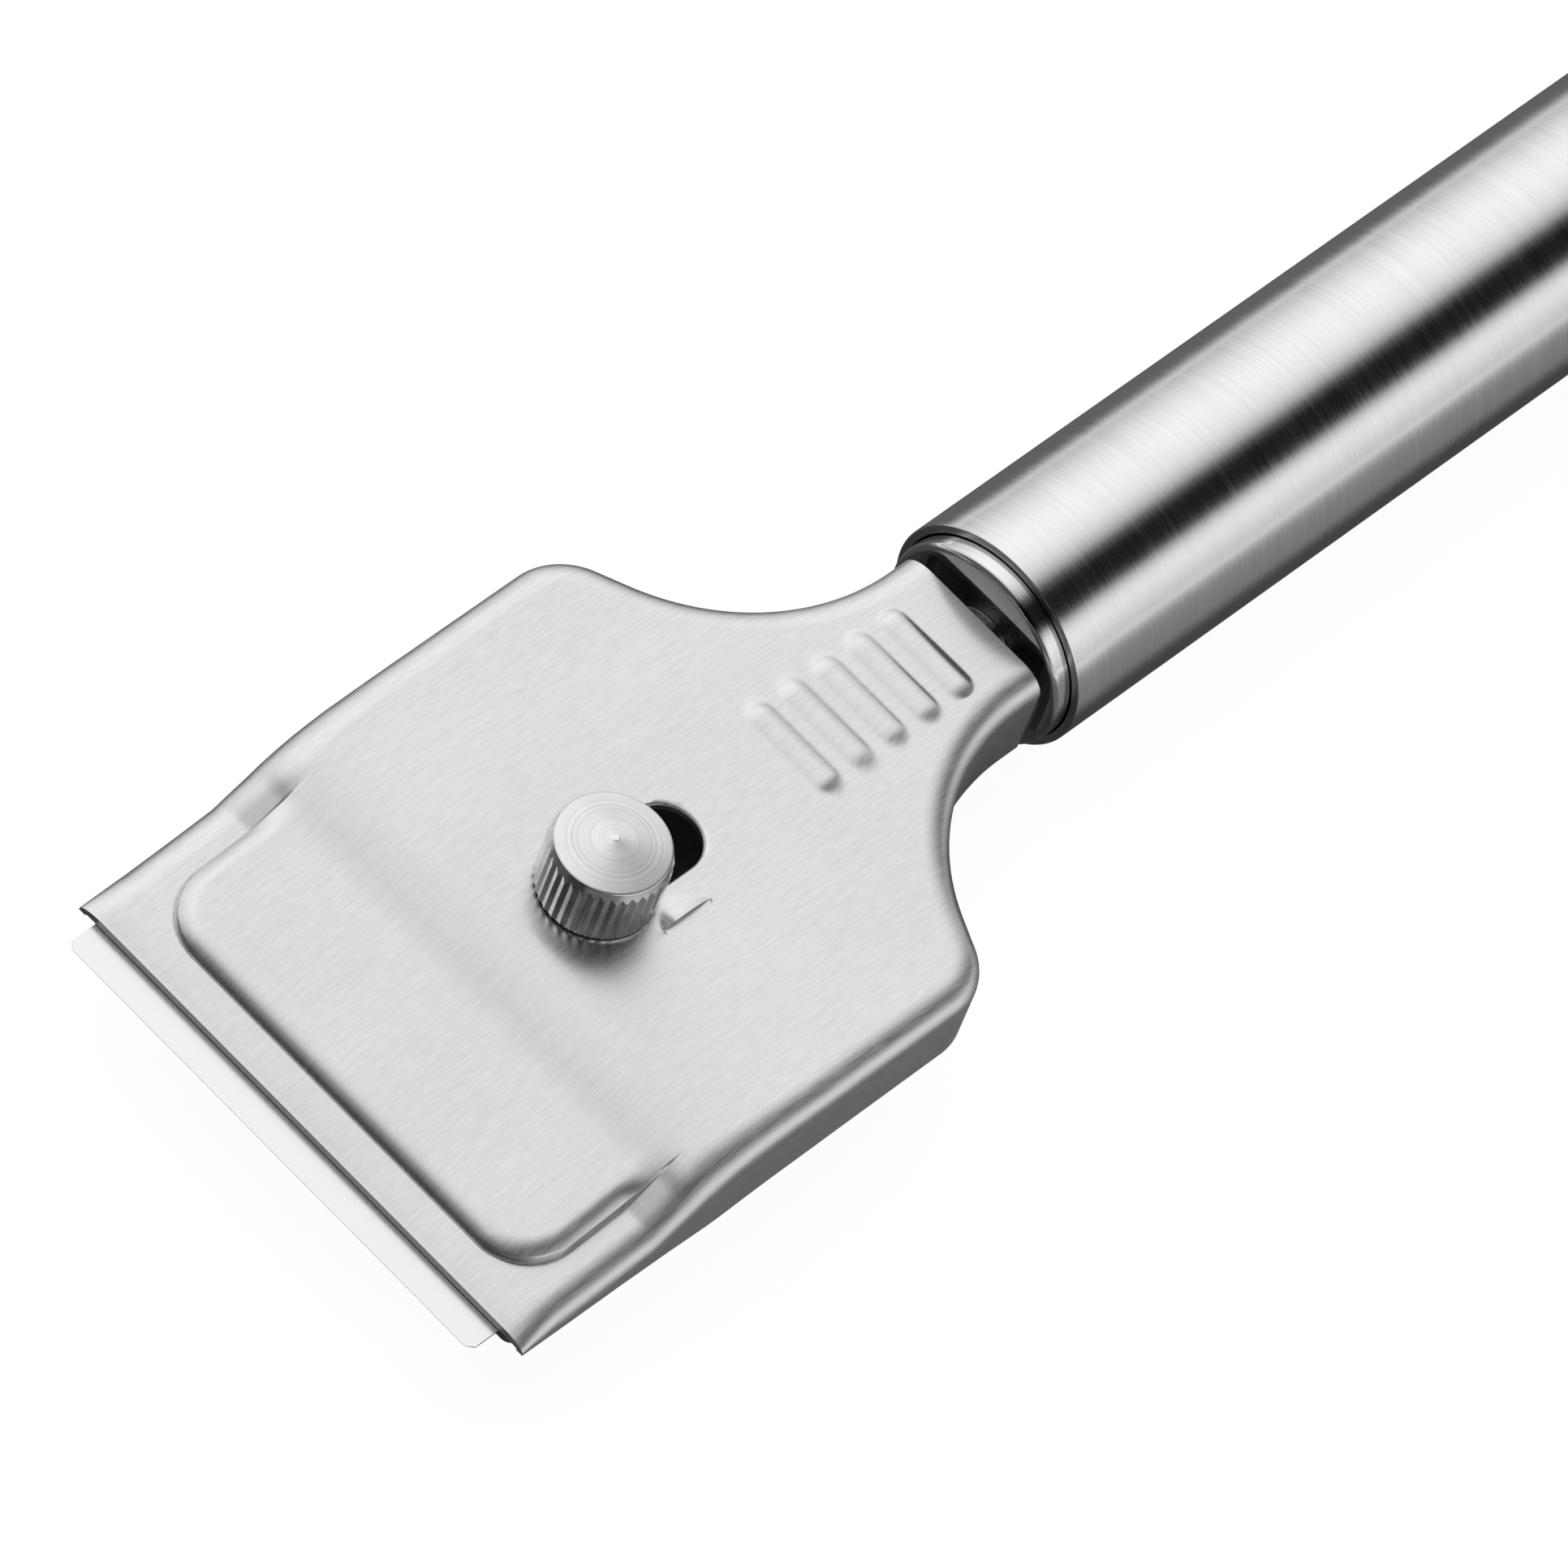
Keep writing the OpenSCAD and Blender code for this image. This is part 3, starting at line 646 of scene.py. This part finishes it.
    def shell(self):
        """The closed sheet: outer face, inner face and the edges between them.

        Gives points, faces, the lay across and along the sheet, and which faces are sheared.
        """
        x = self.stations()
        halves = []
        for depth in (0, self.s.sheet):
            y_top, y_side, z_side = self.face(x, depth)
            wide = x[:, None] + 0 * y_top
            right = self.surface(wide, y_top) - depth
            left = self.surface(wide, -y_top) - depth
            middle = self.surface(x, 0 * x)[:, None] - depth
            steps = np.hypot(np.diff(y_side, axis=1, prepend=y_top[:, -1:]),
                             np.diff(z_side, axis=1, prepend=right[:, -1:]))
            across = np.hstack([y_top, y_top[:, -1:] + np.cumsum(steps, axis=1)])
            y = np.hstack([y_top, y_side])
            halves.append([np.hstack([-y[:, ::-1], 0 * middle, y]),
                           np.hstack([z_side[:, ::-1], left[:, ::-1], middle, right, z_side]),
                           np.hstack([-across[:, ::-1], 0 * middle, across])])
        outer, inner = halves
        ring_y, ring_z, ring_u = (np.hstack([a, b[:, ::-1]]) for a, b in zip(outer, inner))
        count = outer[0].shape[1]
        ring = 2 * count
        along = np.repeat(x[:, None], ring, 1)
        points = np.stack([along, ring_y, ring_z], -1).reshape(-1, 3)
        lay = np.stack([ring_u, along], -1).reshape(-1, 2) * MM
        i, j = np.meshgrid(np.arange(len(x) - 1), np.arange(ring), indexing="ij")
        a = i * ring + j
        b = i * ring + (j + 1) % ring
        sides = np.stack([a, a + ring, b + ring, b], -1).reshape(-1, 4)
        k = np.arange(count - 1)
        mate = ring - 1 - k
        last = (len(x) - 1) * ring
        front = np.stack([k, k + 1, mate - 1, mate], -1)
        back = np.stack([last + k, last + mate, last + mate - 1, last + k + 1], -1)
        # The faces between outer and inner sheet, all round, are sheared
        sheared = np.zeros((len(x) - 1, ring), int)
        sheared[:, [count - 1, ring - 1]] = 1
        kinds = np.concatenate([sheared.ravel(), np.ones(2 * (count - 1), int)])
        return points, np.vstack([sides, front, back]), lay, kinds


class SCRAPER_OT_head(bpy.types.Operator):
    """Builds the pressed head cover with its pad, slot, ribs and index mark"""

    bl_idname = "scraper.head"
    bl_label = "Pressed head"

    def execute(self, context):
        head = Head()
        points, faces, lay, kinds = head.shell()
        cover = made("pressed_cover", points, faces, lay, 40)
        sheared = rolled_steel("sheared_sheet_edge", group("colours").plain, 0.42)
        cover.data.materials.append(brushed_sheet_steel())
        cover.data.materials.append(sheared)
        cover.data.polygons.foreach_set("material_index", kinds)
        cutter = slot_cutter(head)
        cutter.data.materials.append(sheared)
        cut = cover.modifiers.new("Slot", "BOOLEAN")
        cut.operation = "DIFFERENCE"
        cut.solver = "EXACT"
        cut.material_mode = "TRANSFER"
        cut.object = cutter
        baked(cover)
        bpy.data.objects.remove(cutter)
        dressed(cover, None, "handle", "brushed_sheet", "top_cover")
        return {"FINISHED"}


# The slot's cutter by rings: how far each stands outside the slot and above the flat top
SLOT_CUT = [(0, -2), (0, -0.14), (0.3, 0.16)]


def slot_cutter(head):
    """A prism of the slot's shape through the sheet, flared at the top to break its edge."""
    back = KNOB_X + head.s.travel
    rings = []
    for grow, rise in SLOT_CUT:
        radius = head.s.slot_width / 2 + grow
        outline = arc((back, 0), radius, -90, 90, 40)
        outline += arc((KNOB_X, 0), radius, 90, 270, 40)
        rings.append([(x, y, head.s.top + rise) for x, y in outline])
    count = len(rings[0])
    sides = [(r + k, r + (k + 1) % count, r + count + (k + 1) % count, r + count + k)
             for r in (0, count) for k in range(count)]
    ends = [list(range(count))[::-1], list(range(2 * count, 3 * count))]
    return made("slot_cutter", sum(rings, []), sides + ends)


# Small forms of the knob, in millimetres. The blank stands over the tips of the teeth, so that
# they are cut into it; its cone rises from a small step at the rim and ends at the nub.
KNOB_CHAMFER = 0.16
BLANK_OVER = 0.02
RIM_STEP = 0.02
CONE_POWER = 0.92
CONE_END = 0.36
# The nub by its radius and how far it stays below the top
NUB = [(0.31, 0.03), (0.26, 0.006), (0.15, 0), (0.0, 0)]
# Inside of the knob: radius and depth of the bore, and depth of the recess for the washer
BORE_RADIUS = 2.0
BORE_DEPTH = 4.0
RECESS_DEPTH = 0.42
RECESS_PLAY = 0.1
# Steps across a tooth, and how far the lay runs across it, in metres
TOOTH_STEPS = 10
TOOTH_LAY = 0.02


def knob_profile(sizes):
    """Outline of the knob as (radius, height) in millimetres from the middle of its base."""
    top = (KNOB_HIGH.z - KNOB_LOW.z) / MM
    rim = top - sizes.cone
    over = sizes.tip + BLANK_OVER
    wall = [(sizes.tip - KNOB_CHAMFER, 0.0), (over, KNOB_CHAMFER)]
    wall += [(over, height) for height in np.linspace(0.5, rim - sizes.band, 6)]
    band = [(mix(over, sizes.rim, u), rim - sizes.band * (1 - u))
            for u in np.linspace(0.06, 0.94, 22)]
    edge = arc((sizes.rim - 0.06, rim - 0.03), 0.05, 15, 80, 4)
    cone = [(r, rim + RIM_STEP + sizes.cone * (1 - r / sizes.rim) ** CONE_POWER)
            for r in np.linspace(sizes.rim - 0.1, CONE_END, 26)]
    nub = [(radius, top - below) for radius, below in NUB]
    return wall + band + edge + cone + nub


def tooth_wedge(sizes):
    """One tooth with its slice of the knob, from the bore to the middle of the top."""
    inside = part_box("thrust_washer")[1].y / MM + RECESS_PLAY
    profile = [(BORE_RADIUS, BORE_DEPTH), (BORE_RADIUS, RECESS_DEPTH), (inside, RECESS_DEPTH),
               (inside, 0.0)] + knob_profile(sizes)
    step = 2 * math.pi / sizes.teeth
    base_z = (KNOB_LOW.z - ORIGIN.z) / MM
    points, lay, length = [], [], 0
    for k, (radius, height) in enumerate(profile):
        if k:
            length += math.dist(profile[k - 1], profile[k])
        for n in range(TOOTH_STEPS + 1):
            turn = n / TOOTH_STEPS
            # Flat flanks run from a sharp tip down to the root; the turned band cuts across them
            r = min(radius, sizes.tip - sizes.depth * abs(2 * turn - 1))
            angle = (turn - 0.5) * step
            points.append((r * math.cos(angle), r * math.sin(angle), height + base_z))
            lay.append((length * MM, turn * TOOTH_LAY))
    row = TOOTH_STEPS + 1
    faces = [(k, k + 1, k + row + 1, k + row) for lower in range(0, len(points) - row, row)
             for k in range(lower, lower + TOOTH_STEPS)]
    wedge = made("knurled_clamping_knob", points, faces, lay, 12)
    wedge.data.transform(Matrix.Translation(-ORIGIN))
    return wedge


def ring_tree(material):
    """Geometry Nodes: copies of a wedge set side by side round the vertical axis and joined."""
    tree = bpy.data.node_groups.new("Ring of teeth", "GeometryNodeTree")
    for name, kind in (("Geometry", "Geometry"), ("Teeth", "Int"), ("Merge distance", "Float")):
        tree.interface.new_socket(name, in_out="INPUT", socket_type="NodeSocket" + kind)
    tree.interface.new_socket("Geometry", in_out="OUTPUT", socket_type="NodeSocketGeometry")
    given = tree.nodes.new("NodeGroupInput")
    teeth = given.outputs["Teeth"]
    line = node(tree, "GeometryNodeMeshLine", {"Count": teeth, "Offset": (0, 0, 0)})
    step = node(tree, "ShaderNodeMath", {0: 2 * math.pi, 1: teeth}, operation="DIVIDE")
    count = node(tree, "GeometryNodeInputIndex")
    turn = node(tree, "ShaderNodeMath", {0: count, 1: step}, operation="MULTIPLY")
    angles = node(tree, "ShaderNodeCombineXYZ", {"Z": turn})
    copies = node(tree, "GeometryNodeInstanceOnPoints",
                  {"Points": line, "Instance": given.outputs["Geometry"], "Rotation": angles})
    real = node(tree, "GeometryNodeRealizeInstances", {"Geometry": copies})
    joined = node(tree, "GeometryNodeMergeByDistance",
                  {"Geometry": real, "Distance": given.outputs["Merge distance"]})
    finish = node(tree, "GeometryNodeSetMaterial", {"Geometry": joined, "Material": material})
    out = tree.nodes.new("NodeGroupOutput")
    tree.links.new(finish.outputs["Geometry"], out.inputs["Geometry"])
    return tree


class SCRAPER_OT_knob(bpy.types.Operator):
    """Builds the knurled clamping knob from a ring of equal teeth"""

    bl_idname = "scraper.knob"
    bl_label = "Knurled knob"

    def execute(self, context):
        sizes = in_millimetres("knob")
        centre = ORIGIN + Vector((KNOB_X * MM, 0, 0))
        material = turned_steel(centre, KNOB_HIGH.z - sizes.cone * MM)
        knob = tooth_wedge(sizes)
        ring = knob.modifiers.new("Ring of teeth", "NODES")
        ring.node_group = ring_tree(material)
        given = {"Teeth": sizes.teeth, "Merge distance": MERGED}
        for item in ring.node_group.interface.items_tree:
            if item.in_out == "INPUT" and item.name in given:
                ring[item.identifier] = given[item.name]
        baked(knob)
        knob.data.transform(Matrix.Translation(centre))
        dressed(knob, material, "knob", "turned_knob", "knurled_knob")
        return {"FINISHED"}


# Sizes of the handle, in millimetres: the tube's wall, the rounding of its ends and of the rim of
# the plug, the depth and width of the groove round the plug, and the holes in plug and cap
TUBE_WALL = 0.6
TUBE_LIP = 0.12
PLUG_EDGE = 0.5
PLUG_GROOVE = (1.5, 0.12)
PLUG_HOLE = 2.52
CAP_HOLE = 1.62


class SCRAPER_OT_handle(bpy.types.Operator):
    """Builds the tube, its polished front plug and its domed end cap"""

    bl_idname = "scraper.handle"
    bl_label = "Handle"

    def execute(self, context):
        bore, lip = TUBE_RADIUS - TUBE_WALL, TUBE_RADIUS - TUBE_LIP
        tube = arc((TUBE_LIP, lip), TUBE_LIP, 180, 90, 5)
        tube += [(x, TUBE_RADIUS) for x in np.linspace(4, TUBE_LENGTH - 4, 28)]
        tube += arc((TUBE_LENGTH - TUBE_LIP, lip), TUBE_LIP, 90, 0, 5)
        tube += [(TUBE_LENGTH, bore), (0, bore)]
        dressed(lathe("handle_shell", tube), brushed_tube_steel(), "handle", "brushed_tube",
                "handle_tube")
        # The plug has a flat face with a rounded rim, and a groove round it that the tube covers
        deep, wide = PLUG_GROOVE
        rim = bore - wide
        plug = [(PLUG_FACE, PLUG_HOLE), (PLUG_FACE, 5.0)]
        plug += arc((PLUG_FACE + PLUG_EDGE, rim - PLUG_EDGE), PLUG_EDGE, 180, 90, 10)
        plug += [(deep, rim), (deep + 0.05, bore), (PLUG_BACK, bore), (PLUG_BACK, PLUG_HOLE)]
        # The dome of the cap is part of a ball, from just behind the tube to the eye's stem
        rise = CAP_END - TUBE_LENGTH
        ball = (TUBE_RADIUS ** 2 + rise ** 2) / (2 * rise)
        edge, hole = (math.degrees(math.asin(r / ball)) for r in (TUBE_RADIUS, CAP_HOLE))
        start = TUBE_LENGTH + 0.02
        cap = [(CAP_BACK, CAP_HOLE), (CAP_BACK, bore), (start, bore), (start, TUBE_RADIUS - 0.05)]
        cap += arc((CAP_END - ball, 0), ball, edge - 0.6, hole, 40)
        polished = polished_steel()
        for piece, source in ((lathe("polished_front_plug", plug), "front_plug"),
                              (lathe("domed_end_cap", cap), "end_cap"),
                              (copied("flat_hanging_eye", "hanging_eye", 0.12), "hanging_eye")):
            dressed(piece, polished, "handle", "polished_steel", source)
        return {"FINISHED"}


class SCRAPER_OT_blade(bpy.types.Operator):
    """Dresses the blade, its tray, the clamp plate and the pins"""

    bl_idname = "scraper.blade"
    bl_label = "Blade and tray"

    def execute(self, context):
        colours = group("colours")
        # Even the shallow edges between the ground bevels stay sharp
        blade = copied("single_edge_blade", "blade", sharp=3)
        dressed(blade, blade_steel(), "blade_slide", "blade_steel", "blade")
        # The tray is given that dark grey, painted shade for the deep shade seen through the slot
        dull = rolled_steel("tray_steel_painted_shade", colours.dull, 0.4)
        plain = rolled_steel("plain_rolled_steel", colours.plain, 0.3)
        ground = rolled_steel("ground_pin_steel", colours.plain, 0.2)
        for name, source, bevel, finish, slot in (
                ("sliding_tray", "blade_tray", 0.06, dull, "dark_sheet"),
                ("pressing_plate", "clamp_plate", 0.06, plain, "plain_sheet"),
                ("blade_pins", "locating_pins", 0.0, ground, "turned_steel")):
            dressed(copied(name, source, bevel), finish, "blade_slide", slot, source)
        return {"FINISHED"}


class SCRAPER_OT_clamp(bpy.types.Operator):
    """Dresses the clamping screw, bush and washer, and the tang in the neck"""

    bl_idname = "scraper.clamp"
    bl_label = "Clamping parts"

    def execute(self, context):
        plain = rolled_steel("plain_turned_steel", group("colours").plain, 0.27)
        for name, source, bevel, body in (
                ("stepped_bush", "guide_bush", 0.06, "blade_slide"),
                ("slotted_screw", "clamp_screw", 0.06, "blade_slide"),
                ("captive_washer", "thrust_washer", 0.04, "washer"),
                ("solid_neck_tang", "neck_tang", 0.1, "handle")):
            dressed(copied(name, source, bevel), plain, body, "turned_steel", source)
        return {"FINISHED"}


def unlit(name):
    """A material of the stage, still without a shader, and its tree."""
    material = bpy.data.materials.new(name)
    material.use_nodes = True
    tree = material.node_tree
    tree.nodes.remove(tree.nodes["Principled BSDF"])
    return material, tree


def plate(name, low, high, height, material):
    """A flat rectangle of the stage, facing up, in metres."""
    mesh = bpy.data.meshes.new(name)
    corners = [(low[0], low[1]), (high[0], low[1]), (high[0], high[1]), (low[0], high[1])]
    mesh.from_pydata([(x, y, height) for x, y in corners], [], [(0, 1, 2, 3)])
    thing = bpy.data.objects.new(name, mesh)
    bpy.context.scene.collection.objects.link(thing)
    thing.data.materials.append(material)
    return thing


# Levels of the studio by the angle round the tool, in degrees from straight overhead, negative
# on the near side. Soft boxes with a black gap between them draw the bands along the tube.
STUDIO = [(-180, 0.04), (-150, 0.05), (-138, 0.18), (-110, 0.23), (-100, 0.36), (-82, 0.6),
          (-66, 0.78), (-57, 0.72), (-50, 0.42), (-44, 0.05), (-38, 0.008), (-19, 0.008),
          (-12, 0.08), (-4, 0.42), (5, 0.66), (15, 0.8), (30, 0.88), (45, 0.88), (60, 0.78),
          (74, 0.64), (86, 0.48), (98, 0.3), (110, 0.1), (180, 0.04)]
# Share of those levels along the tool: 0 is the light from the blade's end, 1 from the handle's
ENDS = [(0.0, 0.06), (0.14, 0.1), (0.22, 0.26), (0.28, 0.62), (0.35, 0.88), (0.48, 0.98),
        (0.6, 1.0), (0.8, 1.0), (0.9, 0.85), (1.0, 0.55)]
# The ground that the steel sees is painted shade, darkest under the tool where its shadow falls
# Levels of that painted shade, by distance to the side of the tool in millimetres
GROUND_SHADE_LEVELS = [(-220, 0.7), (-85, 0.34), (-50, 0.22), (-18, 0.17), (-13, 0.045), (12, 0.05),
          (18, 0.1), (50, 0.1), (90, 0.3), (220, 0.7)]
GROUND_REACH = 230
# Share of the painted shade's levels that is left beside the head, where it is darker
HEAD_SHADE_SHARE = 0.55
# Share of white in the floor where it is seen; the rest is shaded paper
FLOOR_WHITE = 0.86
# The photograph's camera, solved from the edges of the tool: its right and up, and its place in
# millimetres from the front of the tube
CAMERA_RIGHT = Vector((0.69231, -0.68447, 0.22851))
CAMERA_UP = Vector((0.49047, 0.67862, 0.54673))
CAMERA_PLACE = Vector((-691.39, -338.27, 1021.82))


class SCRAPER_OT_stage(bpy.types.Operator):
    """Sets the pale floor, soft boxes, a card of painted ground shade under the tool, and the
    camera
    """

    bl_idname = "scraper.stage"
    bl_label = "Stage"

    def execute(self, context):
        settings = group("stage")
        scene = context.scene
        scene.view_settings.view_transform = "Standard"
        self.floor()
        self.card(settings.light)
        self.light(scene, settings.light)
        self.camera(scene, settings.lens)
        return {"FINISHED"}

    def floor(self):
        """Pale paper: white where it is seen, with the soft shadow of the object left in it."""
        material, tree = unlit("white_paper_floor")
        path = node(tree, "ShaderNodeLightPath")
        seen = path.outputs["Is Camera Ray"]
        for kind in ("Is Glossy Ray", "Is Transmission Ray"):
            seen = node(tree, "ShaderNodeMath", {0: seen, 1: path.outputs[kind]},
                        operation="MAXIMUM")
        part = node(tree, "ShaderNodeMath", {0: seen, 1: FLOOR_WHITE}, operation="MULTIPLY")
        paper = node(tree, "ShaderNodeBsdfDiffuse", {"Color": (0.82, 0.82, 0.82, 1)})
        white = node(tree, "ShaderNodeEmission", {"Strength": 1.115})
        both = node(tree, "ShaderNodeMixShader", {0: part, 1: paper, 2: white})
        tree.links.new(both.outputs[0], tree.nodes["Material Output"].inputs["Surface"])
        plate("paper_floor", (-1.2, -1.2), (1.2, 1.2), 0.0, material)

    def card(self, strength):
        """A card of painted shade under the tool, only seen by steel, for its dark lower edges."""
        # The card is graded: its painted shade is darkest under the tool, where its shadow falls
        material, tree = unlit("painted_ground_shade_card")
        place = node(tree, "ShaderNodeTexCoord").outputs["Object"]
        parts = node(tree, "ShaderNodeSeparateXYZ", {0: place})
        reach = GROUND_REACH * MM
        share = node(tree, "ShaderNodeMapRange",
                     {"Value": parts.outputs["Y"], "From Min": -reach, "From Max": reach})
        level = node(tree, "ShaderNodeValToRGB", {0: share},
                     [((d + GROUND_REACH) / (2 * GROUND_REACH), v) for d, v in GROUND_SHADE_LEVELS])
        # Painted shade, darker beside the head than beside the tube: it changes round the front of
        # the tube
        grade = node(tree, "ShaderNodeMapRange",
                     {"Value": parts.outputs["X"], "From Min": ORIGIN.x - 5 * MM,
                      "From Max": ORIGIN.x + 8 * MM, "To Min": HEAD_SHADE_SHARE * strength,
                      "To Max": strength})
        glow = node(tree, "ShaderNodeEmission", {"Color": level, "Strength": grade})
        tree.links.new(glow.outputs[0], tree.nodes["Material Output"].inputs["Surface"])
        card = plate("painted_shade_card", (-0.45, -reach), (0.8, reach), 0.0003, material)
        card.visible_camera = card.visible_diffuse = card.visible_shadow = False

    def light(self, scene, strength):
        """Long soft boxes beside and above the tool, dark towards both of its ends."""
        world = bpy.data.worlds.new("soft_boxes")
        world.use_nodes = True
        scene.world = world
        tree = world.node_tree
        sky = tree.nodes["Background"]
        away = node(tree, "ShaderNodeTexCoord").outputs["Generated"]
        parts = node(tree, "ShaderNodeSeparateXYZ", {0: away})
        turn = node(tree, "ShaderNodeMath", {0: parts.outputs["Y"], 1: parts.outputs["Z"]},
                    operation="ARCTAN2")
        share = node(tree, "ShaderNodeMapRange",
                     {"Value": turn, "From Min": -math.pi, "From Max": math.pi})
        boxes = node(tree, "ShaderNodeValToRGB", {0: share},
                     [((a + 180) / 360, v) for a, v in STUDIO])
        ahead = node(tree, "ShaderNodeMapRange", {"Value": parts.outputs["X"], "From Min": -1.0})
        ends = node(tree, "ShaderNodeValToRGB", {0: ahead}, ENDS)
        level = node(tree, "ShaderNodeMath", {0: boxes, 1: ends}, operation="MULTIPLY")
        lit = node(tree, "ShaderNodeMath", {0: level, 1: strength}, operation="MULTIPLY")
        path = node(tree, "ShaderNodeLightPath")
        seen = node(tree, "ShaderNodeMix", {0: path.outputs["Is Camera Ray"], 2: lit, 3: 1.0})
        tree.links.new(seen.outputs[0], sky.inputs["Color"])

    def camera(self, scene, focal):
        """Sets the camera where the photograph was taken from."""
        back = CAMERA_RIGHT.cross(CAMERA_UP).normalized()
        lens = bpy.data.cameras.new("photo_camera")
        lens.sensor_width = 36
        lens.lens = focal
        lens.clip_start = 0.05
        lens.clip_end = 20
        eye = bpy.data.objects.new("photo_camera", lens)
        turn = Matrix((CAMERA_RIGHT, CAMERA_UP, back)).transposed().to_4x4()
        eye.matrix_world = Matrix.Translation(ORIGIN + CAMERA_PLACE * MM) @ turn
        scene.collection.objects.link(eye)
        scene.camera = eye


STEPS = ("head", "knob", "handle", "blade", "clamp", "stage")


class SCRAPER_PT_panel(bpy.types.Panel):
    """Lists the pieces and their sizes"""

    bl_idname = "SCRAPER_PT_panel"
    bl_label = "Hob scraper"
    bl_space_type = "VIEW_3D"
    bl_region_type = "UI"
    bl_category = "Scraper"

    def draw(self, context):
        for name in GROUPS:
            settings = group(name)
            for key in settings.__annotations__:
                self.layout.prop(settings, key)
        for step in STEPS:
            self.layout.operator("scraper." + step)


GROUPS = {"head": HeadSizes, "knob": KnobSizes, "colours": FinishColours, "stage": StageSettings}
CLASSES = (*GROUPS.values(), SCRAPER_OT_head, SCRAPER_OT_knob, SCRAPER_OT_handle,
           SCRAPER_OT_blade, SCRAPER_OT_clamp, SCRAPER_OT_stage, SCRAPER_PT_panel)


def register():
    """Registers the classes and puts the settings on the scene."""
    for item in CLASSES:
        bpy.utils.register_class(item)
    for name, kind in GROUPS.items():
        setattr(bpy.types.Scene, "scraper_" + name, bpy.props.PointerProperty(type=kind))


def unregister():
    """Takes away what register added."""
    for name in GROUPS:
        delattr(bpy.types.Scene, "scraper_" + name)
    for item in reversed(CLASSES):
        bpy.utils.unregister_class(item)


def main():
    """Builds every piece and the stage."""
    register()
    for step in STEPS:
        getattr(bpy.ops.scraper, step)()
    bpy.context.view_layer.update()


if __name__ == "__main__":
    main()
